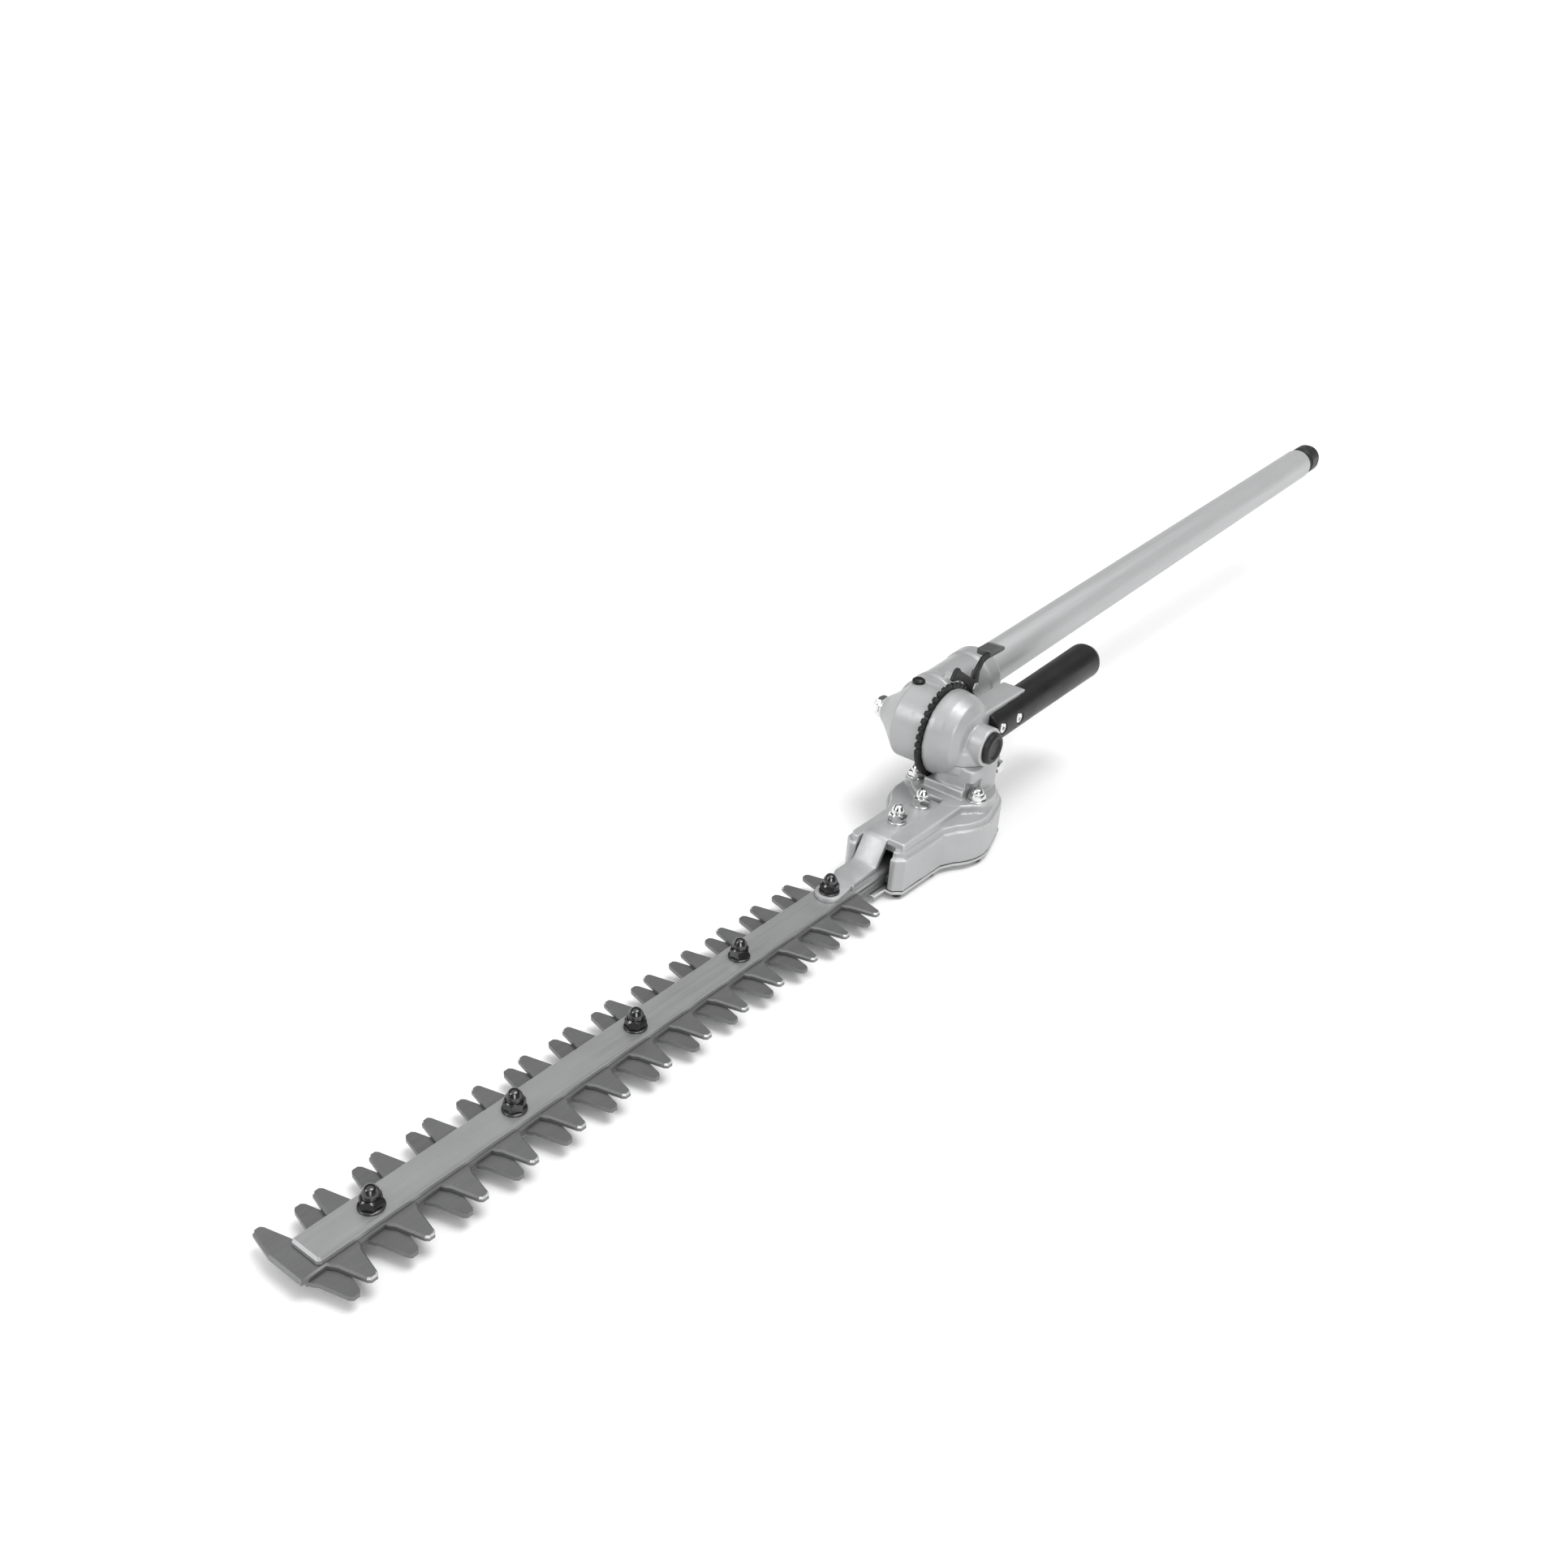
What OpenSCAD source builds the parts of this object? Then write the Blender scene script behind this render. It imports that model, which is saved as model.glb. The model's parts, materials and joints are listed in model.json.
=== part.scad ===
// Tilting-head hedge trimmer attachment for a split-shaft power head.
// Millimetres, +Z up. Origin: centre of the pole's free end. +X points out of the pole end,
// the blades point to -X, +Y is the side that carries the pole.

/* [Pole] */
// outer diameter of the pole tube
pole_d = 28; // [24:0.5:30]
// wall of the pole tube
pole_wall = 1.5; // [1:0.1:3]
// distance from the tilt axis to the free end of the pole
arm_l = 670; // [450:5:900]
// angle of the pole above the blade plane as drawn
lift = 3; // [0:0.5:10]
// sideways step from the blade centre plane to the pole axis
case_off = 42; // [38:0.5:50]
// length of the black plug standing out of the pole end
cap_l = 28; // [10:1:40]

/* [Upper gear case] */
// radius of the round hub on the tilt axis
hub_r = 26; // [24:0.5:30]
// radius of the pole socket
socket_r = 19.5; // [18:0.5:24]
// reach of the pole socket from the tilt axis
socket_l = 85; // [70:1:110]

/* [Head] */
// radius of the round lower gear case
dome_r = 28.8; // [26:0.2:32]
// outer radius of the click plate
click_r = 32; // [30:0.5:36]
// radius of the upright neck
neck_r = 17.5; // [15:0.5:20]
// angle between click notches
click_step = 10; // [5:1:15]

/* [Crankcase] */
// reach of the crankcase in front of the neck axis
case_front = 96.5; // [85:0.5:110]
// half width of the crankcase front
case_hw = 22; // [18:0.5:28]
// radius of the wide rear lobe
lobe_r = 35.5; // [30:0.5:40]
// height of the blade top face below the tilt axis
blade_drop = 58; // [54:0.5:64]

/* [Blades] */
// tooth pitch of one side
pitch = 31; // [24:0.5:40]
// teeth along each side
teeth = 13; // [6:1:20]
// reach of the tooth tips from the centre line
tip_y = 29.6; // [24:0.2:36]
// blade steel thickness
blade_t = 2.6; // [2:0.1:4]
// throw of each crank pin
throw = 7.75; // [4:0.25:10]
// shift of the upper blade from mid stroke as drawn
phase_x = 4.9; // [-7:0.1:7]

/* [Grip] */
// outer diameter of the rear grip
grip_d = 25; // [22:0.5:32]
// end of the grip behind the tilt axis
grip_end = 160; // [120:1:200]

/* [Hidden] */

clear = 0.35;
fit = 0.04;
pivot = [-arm_l*cos(lift), 0, -arm_l*sin(lift)];
up_top = -blade_drop;
up_bot = up_top - blade_t;
lo_top = up_bot - clear;
lo_bot = lo_top - blade_t;
bar_bot = up_top + clear;
bar_t = 3.2;
bar_top = bar_bot + bar_t;
bar_hw = 8.5;
plate_t = 3;
crank_x = -30;
gear_m = 1.25;
bolt_step = 84.8;
bolt_x0 = -140.2;
deck_z = -38.8;
case_bot = -64.9;
roof_z = -45.2;
cover_top = case_bot - 0.5;
cover_bot = cover_top - 2;
tip_x = -517.5;
bracket_y = 3;
lever_x = 33;
lever_z = 19.5;
// the lever axis seen in the pole's frame
lug_x = lever_x*cos(lift) + lever_z*sin(lift);
lug_z = lever_z*cos(lift) - lever_x*sin(lift);
// start of the full tube diameter, just clear of the socket
land_x = socket_l + 1;
clamp_z = -socket_r - 3.9;
// radius of the tube's turned-down end inside the socket
seat_r = pole_d/2 - 0.6;
// outer face of the boss on the upper case, and the grease screw's place
boss_y = 17.5;
grease_x = 2;
grease_y = -3.5;
// far side of the guide bar
bar_left = 10.8;
neck_ys = [-21.5, 24.5];
screw_turns = [30, 90, 150];

module in_head() translate([pivot.x, -case_off, pivot.z]) children();
module in_pole() translate(pivot) rotate([0, -lift, 0]) children();
// cylinders along +X and +Y from the local origin
module xcyl(r, l, fn = 48) rotate([0, 90, 0]) cylinder(h = l, r = r, $fn = fn);
module ycyl(r, l, fn = 48) rotate([-90, 0, 0]) cylinder(h = l, r = r, $fn = fn);
// turned shape about +Y, points are [radius, y]
module yturn(pts, fn = 72) rotate([-90, 0, 0]) rotate_extrude($fn = fn) polygon(pts);
module box(x0, x1, y0, y1, z0, z1) translate([x0, y0, z0]) cube([x1 - x0, y1 - y0, z1 - z0]);
module ring(ro, ri, l, fn = 48) difference() {
  cylinder(h = l, r = ro, $fn = fn);
  translate([0, 0, -1]) cylinder(h = l + 2, r = ri, $fn = fn);
}
module hex(af, h) rotate([0, 0, 30]) cylinder(h = h, r = af/sqrt(3), $fn = 6);
module domed_nut(af, h, bore, deep) difference() {
  union() {
    cylinder(h = 1.2, r = af*0.64, $fn = 32);
    hex(af, h*0.55);
    rotate_extrude($fn = 32) polygon([[0, 0], [af*0.46, 0], [af*0.46, h*0.62], [af*0.36, h*0.85],
      [af*0.18, h*0.97], [0, h]]);
  }
  translate([0, 0, -1]) cylinder(h = deep + 1, r = bore, $fn = 24);
}
// bevel wheel along +Z: small end at z 6.5, big end at z 11.5, hub behind it
module bevel(hub_end, bore) difference() {
  union() {
    rotate_extrude($fn = 48) polygon([[0, 6.5], [5.2, 6.5], [10.2, 11.5], [10.2, 12.6], [6.2, 13.2],
      [6.2, hub_end], [0, hub_end]]);
  }
  translate([0, 0, 5]) cylinder(h = 20, r = bore, $fn = 32);
  for (i = [0:13]) rotate([0, 0, i*360/14]) translate([5.2, 0, 6.5]) rotate([0, 45, 0])
    translate([-1.1, -0.75, -1.5]) cube([3, 1.5, 9.8]);
}
// spur wheel along +Z with slim straight-sided teeth for backlash
module spur(z, h) union() {
  r = gear_m*z/2;
  cylinder(h = h, r = r - 1.15*gear_m, $fn = 64);
  linear_extrude(h) for (i = [0:z - 1]) rotate(i*360/z) polygon([
    [r - 1.3*gear_m, -0.42*gear_m*PI/2], [r, -0.19*gear_m*PI], [r + 0.75*gear_m, -0.09*gear_m*PI],
    [r + 0.75*gear_m, 0.09*gear_m*PI], [r, 0.19*gear_m*PI], [r - 1.3*gear_m, 0.42*gear_m*PI/2]]);
}

// ---------------------------------------------------------------- pole side
module pole_tube() color("silver") in_pole() difference() {
  union() {
    translate([40, 0, 0]) xcyl(seat_r, land_x - 39, 72);
    translate([land_x, 0, 0]) xcyl(pole_d/2, arm_l - land_x, 72);
  }
  translate([39, 0, 0]) xcyl(pole_d/2 - pole_wall, arm_l - 38, 72);
}
module pole_plug() color([0.09, 0.09, 0.1]) in_pole() union() {
  translate([arm_l - 20, 0, 0]) xcyl(pole_d/2 - pole_wall - 0.03, 21);
  translate([arm_l + 0.4, 0, 0]) rotate([0, 90, 0]) rotate_extrude($fn = 48)
    polygon([[0, 0], [13, 0], [13, cap_l - 5], [12, cap_l - 1.6], [9.5, cap_l], [0, cap_l]]);
}
module shaft_bushes() color([0.2, 0.2, 0.22]) in_pole() for (x = [150, 330, 510])
  translate([x, 0, 0]) rotate([0, 90, 0]) ring(pole_d/2 - pole_wall - 0.02, 4 + fit, 18);
module drive_shaft() color("lightgray") in_pole() union() {
  translate([8, 0, 0]) xcyl(4, arm_l - 38, 32);
  translate([arm_l - 31, -2.6, -2.6]) cube([8, 5.2, 5.2]);
}
module input_bevel() color("gray") in_pole() rotate([0, 90, 0]) bevel(16.6, 4.01);
module input_bearings() color("lightgray") in_pole() for (x = [17.2, 28])
  translate([x, 0, 0]) rotate([0, 90, 0]) ring(11, 4 + fit, 7);
module upper_case() color([0.72, 0.73, 0.74]) in_pole() difference() {
  union() {
    yturn([[0, -24.4], [hub_r - 1, -24.4], [hub_r, -23.4], [hub_r, -2], [19.5, 5], [13, 12],
      [9, boss_y], [0, boss_y]]);
    translate([grease_x, grease_y, 18]) cylinder(h = 7.8, r = 5.4, $fn = 32);
    rotate([0, 90, 0]) rotate_extrude($fn = 72)
      polygon([[0, 9], [12, 9], [socket_r, 17], [socket_r, socket_l], [0, socket_l]]);
    translate([socket_l - 14, 0, 0]) xcyl(socket_r + 1, 12, 72);
    translate([socket_l - 26, -7, clamp_z - 4.1]) cube([20, 14, 13]);
    // lug for the lever pin
    translate([lug_x, -17.5, lug_z]) ycyl(5.5, 12, 32);
    translate([26, -17.5, 4]) cube([13, 12, 12]);
  }
  // spigot bore, gear room, bearing seats, pole socket
  translate([0, -25, 0]) ycyl(20 + fit + 0.02, 11, 72);
  translate([0, -16.6, 0]) ycyl(22, 2.3, 72);
  translate([0, -15, 0]) ycyl(14, 18.6);
  translate([0, 3.4, 0]) ycyl(6.22, 5.4);
  translate([0, 8, 0]) ycyl(4.1, boss_y - 7, 32);
  translate([0, 0, 0]) xcyl(11.02, 42);
  translate([40, 0, 0]) xcyl(seat_r + 0.03, 60, 72);
  // clamp slit and screw holes under the socket
  translate([60, -1, -30]) cube([40, 2, 20]);
  for (x = [64, 74]) translate([x, -10, clamp_z]) ycyl(2.03, 20, 24);
  // lever pin and grease screw holes
  translate([lug_x, -18, lug_z]) ycyl(2.51, 13, 24);
  translate([grease_x, grease_y, 14]) cylinder(h = 20, r = 2.51, $fn = 24);
}
module case_end_bolt() color("gainsboro") in_pole() translate([0, boss_y, 0]) difference() {
  union() {
    translate([0, 1.5, 0]) rotate([-90, 0, 0]) hex(13, 5.5);
    translate([0, 6, 0]) yturn([[0, 0], [5.6, 0], [5.2, 2.2], [3, 3.6], [0, 4]], 32);
    translate([0, -5, 0]) ycyl(4.08, 7, 32);
  }
  translate([0, -6, 0]) ycyl(1.2, 4, 16);
}
module case_end_washer() color("silver") in_pole() translate([0, boss_y, 0]) rotate([-90, 0, 0])
  ring(8, 4.1, 1.5);
module grease_screw() color([0.12, 0.12, 0.12]) in_pole() translate([grease_x, grease_y, 0])
  difference() {
  union() {
    translate([0, 0, 18]) cylinder(h = 9, r = 2.48, $fn = 24);
    translate([0, 0, 26]) cylinder(h = 3, r = 4.4, $fn = 24);
  }
  translate([-0.6, -5, 28]) cube([1.2, 10, 2]);
}
module socket_screws() color([0.15, 0.15, 0.16]) in_pole() for (x = [64, 74])
  translate([x, 0, clamp_z]) difference() {
    union() {
      translate([0, -7, 0]) ycyl(2, 13.8, 24);
      translate([0, -11, 0]) ycyl(3.5, 4, 24);
    }
    translate([0, -11.5, 0]) rotate([-90, 30, 0]) cylinder(h = 2.5, r = 1.8, $fn = 6);
  }

// ---------------------------------------------------------------- lock lever
module lever_pin() color("silver") in_head() translate([lever_x, 13.4, lever_z]) union() {
  ycyl(2.5, 22, 24);
  ycyl(3.6, 0.9, 24);
}
module lock_lever() color([0.07, 0.07, 0.08]) in_head() difference() {
  translate([0, 17.2, 0]) rotate([90, 0, 0]) linear_extrude(2.8) union() {
    translate([lever_x, lever_z]) circle(r = 5, $fn = 32);
    // click tooth arm
    polygon([[8.6, 32.6], [14.4, 30.4], [20.4, 26.8], [25.4, 22.4], [28.6, 18.4], [31, 15.6],
      [36, 19], [33, 24.4], [12, 38.2], [9.6, 40.8], [6.6, 40.6], [2.6, 35], [3.4, 33.4]]);
    // thumb arm
    polygon([[36.8, 20.5], [36.8, 30], [41.4, 35.2], [51, 37], [51, 40], [48, 40.2], [39.5, 38.6],
      [33, 32], [30, 22]]);
  }
  translate([lever_x, 10, lever_z]) ycyl(2.5 + fit, 12, 24);
}
module lever_pad() color([0.42, 0.42, 0.43]) in_head() difference() {
  translate([47, 13.8, 36]) cube([20, 11, 5]);
  translate([46, 14.38, 35]) cube([5.05, 2.84, 5.4]);
  translate([60, 13, 41]) rotate([0, 16, 0]) cube([10, 14, 4]);
}
module lever_spring() color("dimgray") in_head() union() {
  translate([lever_x, 17.6, lever_z]) rotate([-90, 0, 0]) rotate_extrude($fn = 36) polygon(concat(
    [[3.6, 0], [4.2, 0]], [for (i = [0:4]) each [[4.7, 0.5 + i], [4.3, 1 + i]]], [[3.6, 5]]));
  translate([lever_x + 4.1, 21.4, lever_z]) rotate([0, 18, 0]) cylinder(h = 9, r = 0.4, $fn = 16);
  translate([lever_x, 18.3, lever_z - 4.1]) rotate([0, 90, 0]) cylinder(h = 9.5, r = 0.4, $fn = 16);
}

// ---------------------------------------------------------------- tilt joint and cross shaft
module pivot_ring() color("gray") in_head() translate([0, 25.8, 0]) rotate([-90, 0, 0])
  ring(21.5, 18.75, 1.4, 72);
module cross_shaft() color("lightgray") in_head() translate([0, -19.4, 0])
  ycyl(4, case_off + 8 + 19.4, 32);
module cross_bevel_upper() color("gray") in_head() translate([0, case_off, 0])
  rotate([90, 0, 0]) bevel(16.4, 4.01);
module cross_bevel_lower() color("gray") in_head() rotate([-90, 0, 0]) bevel(17, 4.01);
module cross_bearing_upper() color("lightgray") in_head() translate([0, case_off + 3.5, 0])
  rotate([-90, 0, 0]) ring(6.2, 4 + fit, 5);
module cross_bearing_lower() color("lightgray") in_head() translate([0, -19.2, 0])
  rotate([-90, 0, 0]) ring(9.5, 4 + fit, 6);

// ---------------------------------------------------------------- head castings and grip
module lower_case() color([0.75, 0.76, 0.77]) in_head() difference() {
  union() {
    yturn([[0, -20], [12.4, -20], [13, -19.4], [13, -9], [19, -8], [24.4, -4], [27.6, 3],
      [dome_r, 10], [dome_r, 14], [20, 14], [20, 26], [18.7, 26], [18.7, 27], [0, 27]]);
    // upright neck with its flange
    translate([0, 0, -12]) cylinder(h = 12, r = neck_r, $fn = 64);
    translate([0, 0, -12]) cylinder(h = 9, r = neck_r + 1.2, $fn = 64);
    // arm for the grip
    box(10, 60, -8.6, 8.4, -7.5, 17.5);
  }
  // room for the crankcase neck below the joint face
  translate([0, 0, -40]) cylinder(h = 28, r = neck_r + 1.35, $fn = 64);
  // spigot bore, gear room and side bearing seat
  translate([0, -5, 0]) ycyl(15.2, 22.4);
  translate([0, 15, 0]) ycyl(16.8, 14, 64);
  translate([0, -19.3, 0]) ycyl(9.52, 15);
  translate([0, -21, 0]) ycyl(10.03, 1.8);
  translate([0, 0, -20]) cylinder(h = 19, r = 12.6, $fn = 64);
  // groove for the snap ring
  translate([0, 25.7, 0]) rotate([-90, 0, 0]) ring(21, 18.7, 3, 72);
  // bore for the grip core, grip screw holes, click plate screw holes
  translate([49.6, -5, 4.05]) rotate([0, -2, 0]) xcyl(7.03, 40);
  for (x = [21, 42]) translate([x, -20, 5]) ycyl(2.03, 18, 24);
  for (a = screw_turns) rotate([0, -a, 0]) translate([24, 6, 0]) ycyl(2.03, 10, 24);
}
module click_plate() color([0.06, 0.06, 0.07]) in_head() difference() {
  translate([0, 17.1, 0]) rotate([90, 0, 0]) linear_extrude(2.9) difference() {
    union() {
      circle(r = 27, $fn = 96);
      intersection() {
        circle(r = click_r, $fn = 120);
        polygon([[0, 0], for (a = [36:15:261]) 60*[cos(a), sin(a)]]);
      }
    }
    for (a = [45:click_step:185]) rotate(a) translate([click_r, 0])
      polygon([[-2.6, -0.7], [1, -1.7], [1, 1.7], [-2.6, 0.7]]);
  }
  translate([0, 10, 0]) ycyl(20.03, 10, 72);
  for (a = screw_turns) rotate([0, -a, 0]) translate([24, 10, 0]) {
    ycyl(2.03, 10, 24);
    translate([0, 5.5, 0]) ycyl(3.53, 4, 24);
  }
}
module click_screws() color([0.3, 0.3, 0.31]) in_head() for (a = screw_turns)
  rotate([0, -a, 0]) translate([24, 6.5, 0]) union() {
    ycyl(2, 10, 24);
    translate([0, 9.1, 0]) ycyl(3.5, 1.4, 24);
  }
module side_plug() color([0.05, 0.05, 0.05]) in_head() union() {
  translate([0, -23.8, 0]) yturn([[0, 0], [9, 0], [10.6, 1.4], [10.6, 3.7], [10, 3.7], [10, 4.5],
    [7.4, 4.5], [7.4, 1.6], [0, 1.6]]);
}
module handle_core() color("silver") in_head() translate([50, -5, 4.06]) rotate([0, -2, 0])
  difference() {
    xcyl(7, 98);
    translate([-1, 0, 0]) xcyl(5.4, 120);
  }
module grip() color([0.1, 0.1, 0.11]) in_head() difference() {
  union() {
    translate([60.6, -5, 4.43]) rotate([0, -2, 0]) rotate([0, 90, 0]) rotate_extrude($fn = 64)
      polygon([[0, 0], [grip_d/2 - 0.4, 0], [grip_d/2, 60], [grip_d/2 + 0.3, grip_end - 68],
        [grip_d/2 - 2.6, grip_end - 62.4], [grip_d/2 - 8, grip_end - 60.4], [0, grip_end - 60.4]]);
    difference() {
      translate([14.5, -5, 2.8]) rotate([0, -2, 0]) xcyl(grip_d/2 - 0.4, 47, 64);
      box(0, 70, -8.9, 20, -20, 30);
    }
  }
  translate([48, -5, 3.99]) rotate([0, -2, 0]) xcyl(7.04, 102);
  // room for the joint collar of the neck
  translate([0, 0, -14]) cylinder(h = 11.4, r = neck_r + 1.6, $fn = 64);
  for (x = [21, 42]) translate([x, -20, 5]) {
    ycyl(2.1, 18, 24);
    ycyl(3.9, 5.2, 24);
  }
}
module grip_screws() color("silver") in_head() for (x = [21, 42])
  translate([x, -16.6, 5]) difference() {
    union() {
      ycyl(2, 13.6, 24);
      ycyl(3.6, 1.7, 24);
    }
    translate([0, -1, 0]) rotate([-90, 0, 0]) cylinder(h = 2.2, r = 1.7, $fn = 6);
  }

// ---------------------------------------------------------------- upright and crank drive
module upright_shaft() color("lightgray") in_head() translate([0, 0, -53.6])
  cylinder(h = 46, r = 4, $fn = 32);
module upright_bevel() color("gray") in_head() rotate([180, 0, 0]) bevel(16.4, 4.01);
module pinion() color("gray") in_head() difference() {
  translate([0, 0, -53.4]) spur(12, 8);
  translate([0, 0, -60]) cylinder(h = 30, r = 4.01, $fn = 32);
}
module upright_bearings() color("lightgray") in_head() for (z = [-24.5, -43.6])
  translate([0, 0, z]) ring(11, 4 + fit, 7);
module crank_axle() color("lightgray") in_head() translate([crank_x, 0, cover_bot + 0.1])
  cylinder(h = -41.6 - cover_bot, r = 4, $fn = 32);
module crank_gear() color("gray") in_head() difference() {
  translate([crank_x, 0, -53]) rotate([0, 0, 5]) spur(36, 6.6);
  translate([crank_x, 0, -60]) cylinder(h = 20, r = 4 + fit, $fn = 32);
  for (s = [0, 180]) translate([crank_x, 0, -60]) rotate([0, 0, 50.8 + s])
    translate([throw, 0, 0]) cylinder(h = 20, r = 2.01, $fn = 24);
}
module crank_pins() color("silver") in_head() for (s = [0, 1])
  translate([crank_x, 0, 0]) rotate([0, 0, 50.8 + 180*s]) translate([throw, 0, s == 0 ? up_bot - 0.1 :
    lo_bot]) cylinder(h = -47 - (s == 0 ? up_bot : lo_bot), r = 2, $fn = 24);
module crank_rollers() color("dimgray") in_head() for (s = [0, 1])
  translate([crank_x, 0, s == 0 ? up_bot : lo_bot + 0.1]) rotate([0, 0, 50.8 + 180*s])
    translate([throw, 0, 0]) ring(3.6, 2.01, -53.2 - (s == 0 ? up_bot : lo_bot + 0.1), 32);

// ---------------------------------------------------------------- crankcase
// crankcase outline: chamfered nose, flared flanks, wide lobe and rear round, drawn "in" smaller
function arc(x, r, a0, a1, n) = [for (i = [0:n]) let (a = a0 + (a1 - a0)*i/n) [x + r*cos(a), r*sin(a)]];
function case_line(in) = concat(
  [[-case_front + in, -case_hw + 5 + 0.6*in], [-case_front + 5 + 0.4*in, -case_hw + in],
    [-50, -case_hw - 1 + in]],
  arc(-18, lobe_r - in, -130, -73, 8), arc(1, 30 - in, -73, 73, 24), arc(-18, lobe_r - in, 73, 130, 8),
  [[-50, case_hw + 1 - in], [-case_front + 5 + 0.4*in, case_hw - in],
    [-case_front + in, case_hw - 5 - 0.6*in]]);
module case_plan(in = 0) polygon(case_line(in));
module crankcase() color([0.74, 0.75, 0.76]) in_head() difference() {
  union() {
    translate([0, 0, case_bot]) linear_extrude(22.1) case_plan();
    translate([0, 0, -42.9]) linear_extrude(4.1) case_plan(2.5);
    // neck foot and neck
    translate([-4, 0, -39]) cylinder(h = 6, r = 28, $fn = 72);
    translate([0, 0, -34]) cylinder(h = 21.9, r = neck_r, $fn = 64);
    translate([0, 0, -18]) cylinder(h = 5.9, r = neck_r + 1.2, $fn = 64);
    box(-19, 1, -14.5, 14.5, -34, -27);
    for (y = neck_ys) translate([-11.5, y, -52]) cylinder(h = 19, r = 7, $fn = 40);
    difference() {
      box(12, 29, -13.8, 13.8, -30, -18);
      translate([0, -4, 0]) ycyl(dome_r + 0.4, 30, 96);
    }
    // ridge beside the bracket
    box(-91, -18, -18.6, -6.4, -40, -33.4);
  }
  // gear room and blade room
  translate([0, 0, case_bot - 1]) linear_extrude(roof_z - case_bot + 1) case_plan(3.4);
  // room for the click plate and the upper case beside the neck, and for the bracket's end
  translate([0, 13.9, 0]) ycyl(click_r + 0.4, 20, 96);
  box(-40, -26.6, bracket_y - bar_hw - 0.4, bracket_y + bar_hw + 0.4, deck_z, -20);
  // mouth for bar and blades
  box(-case_front - 1, -75, -13, 13, case_bot - 1, -44.5);
  box(-case_front - 1, -87, -13, 13, case_bot - 1, -38);
  // bearing seats and shaft way
  translate([0, 0, -43.7]) cylinder(h = 7.2, r = 11.02, $fn = 64);
  translate([0, 0, -46]) cylinder(h = 4, r = 9, $fn = 48);
  translate([0, 0, -38]) cylinder(h = 14, r = 7, $fn = 48);
  translate([0, 0, -24.6]) cylinder(h = 20, r = 11.02, $fn = 64);
  translate([crank_x, 0, -50]) cylinder(h = 8.6, r = 4.01, $fn = 32);
  // bolts: neck, bracket studs, cover screws, rear bolt
  for (y = neck_ys) translate([-11.5, y, -44.6]) cylinder(h = 20, r = 2.53, $fn = 24);
  for (x = [-66, -38]) translate([x, bracket_y, -44.7]) cylinder(h = 9, r = 2.53, $fn = 24);
  translate([23.5, -20, -24]) ycyl(2.53, 40, 24);
  box(0, 40, -0.9, 0.9, -31, -12);
}
module case_gasket() color([0.25, 0.23, 0.2]) in_head() translate([0, 0, case_bot - 0.5])
  difference() {
    linear_extrude(0.48) difference() {
      case_plan(0.3);
      case_plan(3.3);
    }
    box(-case_front - 1, -case_front + 20, -13, 13, -1, 2);
  }
module bottom_cover() color([0.6, 0.61, 0.62]) in_head() difference() {
  union() {
    translate([0, 0, cover_bot]) linear_extrude(2) case_plan();
    box(-108, -case_front + 2, -12, 12, cover_bot, cover_top);
  }
  translate([crank_x, 0, -80]) cylinder(h = 30, r = 4.01, $fn = 32);
}
module cover_screws() color([0.08, 0.08, 0.08]) in_head() for (p = [[-90.5, 17], [-56, 18.6],
  [-20, 31.4], [20, 21]], s = [-1, 1]) translate([p.x, p.y*s, cover_bot - 2.6]) difference() {
    cylinder(h = 2.6, r = 3.2, $fn = 24);
    translate([0, 0, -1]) cylinder(h = 2.4, r = 1.6, $fn = 6);
  }
module neck_bolts() color("silver") in_head() for (y = neck_ys)
  translate([-11.5, y, -44.4]) cylinder(h = 15, r = 2.5, $fn = 24);
module neck_nuts() color("gainsboro") in_head() for (y = neck_ys)
  translate([-11.5, y, -33]) domed_nut(10, 9, 2.52, 4);
module rear_bolt() color("silver") in_head() translate([23.5, -18.1, -24]) union() {
  ycyl(2.5, 36, 24);
  rotate([-90, 0, 0]) hex(8, 4);
}
module rear_nut() color("gainsboro") in_head() translate([23.5, 14.1, -24]) rotate([-90, 0, 0])
  difference() {
    hex(8, 4);
    translate([0, 0, -1]) cylinder(h = 6, r = 2.52, $fn = 24);
  }

// ---------------------------------------------------------------- bar, bracket and blades
module guide_bar() color([0.55, 0.56, 0.57]) in_head() difference() {
  translate([0, 0, bar_bot]) linear_extrude(bar_t) polygon([[tip_x + 3.5, -bar_hw + 1.5],
    [tip_x + 5, -bar_hw], [-64, -bar_hw], [-64, bar_left], [tip_x + 5, bar_left],
    [tip_x + 3.5, bar_left - 1.5]]);
  for (i = [0:4]) translate([bolt_x0 - i*bolt_step, 0, -70]) cylinder(h = 30, r = 3.03, $fn = 24);
}
module bar_bolts() color("silver") in_head() for (i = [0:4])
  translate([bolt_x0 - i*bolt_step, 0, 0]) union() {
    translate([0, 0, lo_bot - 3.2]) cylinder(h = 2.85, r = 7, $fn = 40);
    translate([0, 0, lo_bot - 0.4]) cylinder(h = bar_bot - lo_bot + 0.38, r = 4.2, $fn = 32);
    translate([0, 0, bar_bot - 0.1]) cylinder(h = bar_t + (i == 0 ? 7 : 4.4), r = 3, $fn = 24);
  }
module bar_nuts() color("gainsboro") in_head() for (i = [0:4])
  translate([bolt_x0 - i*bolt_step, 0, bar_top + (i == 0 ? plate_t : 0)]) domed_nut(10, 12, 3.02, 4.6);
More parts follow.
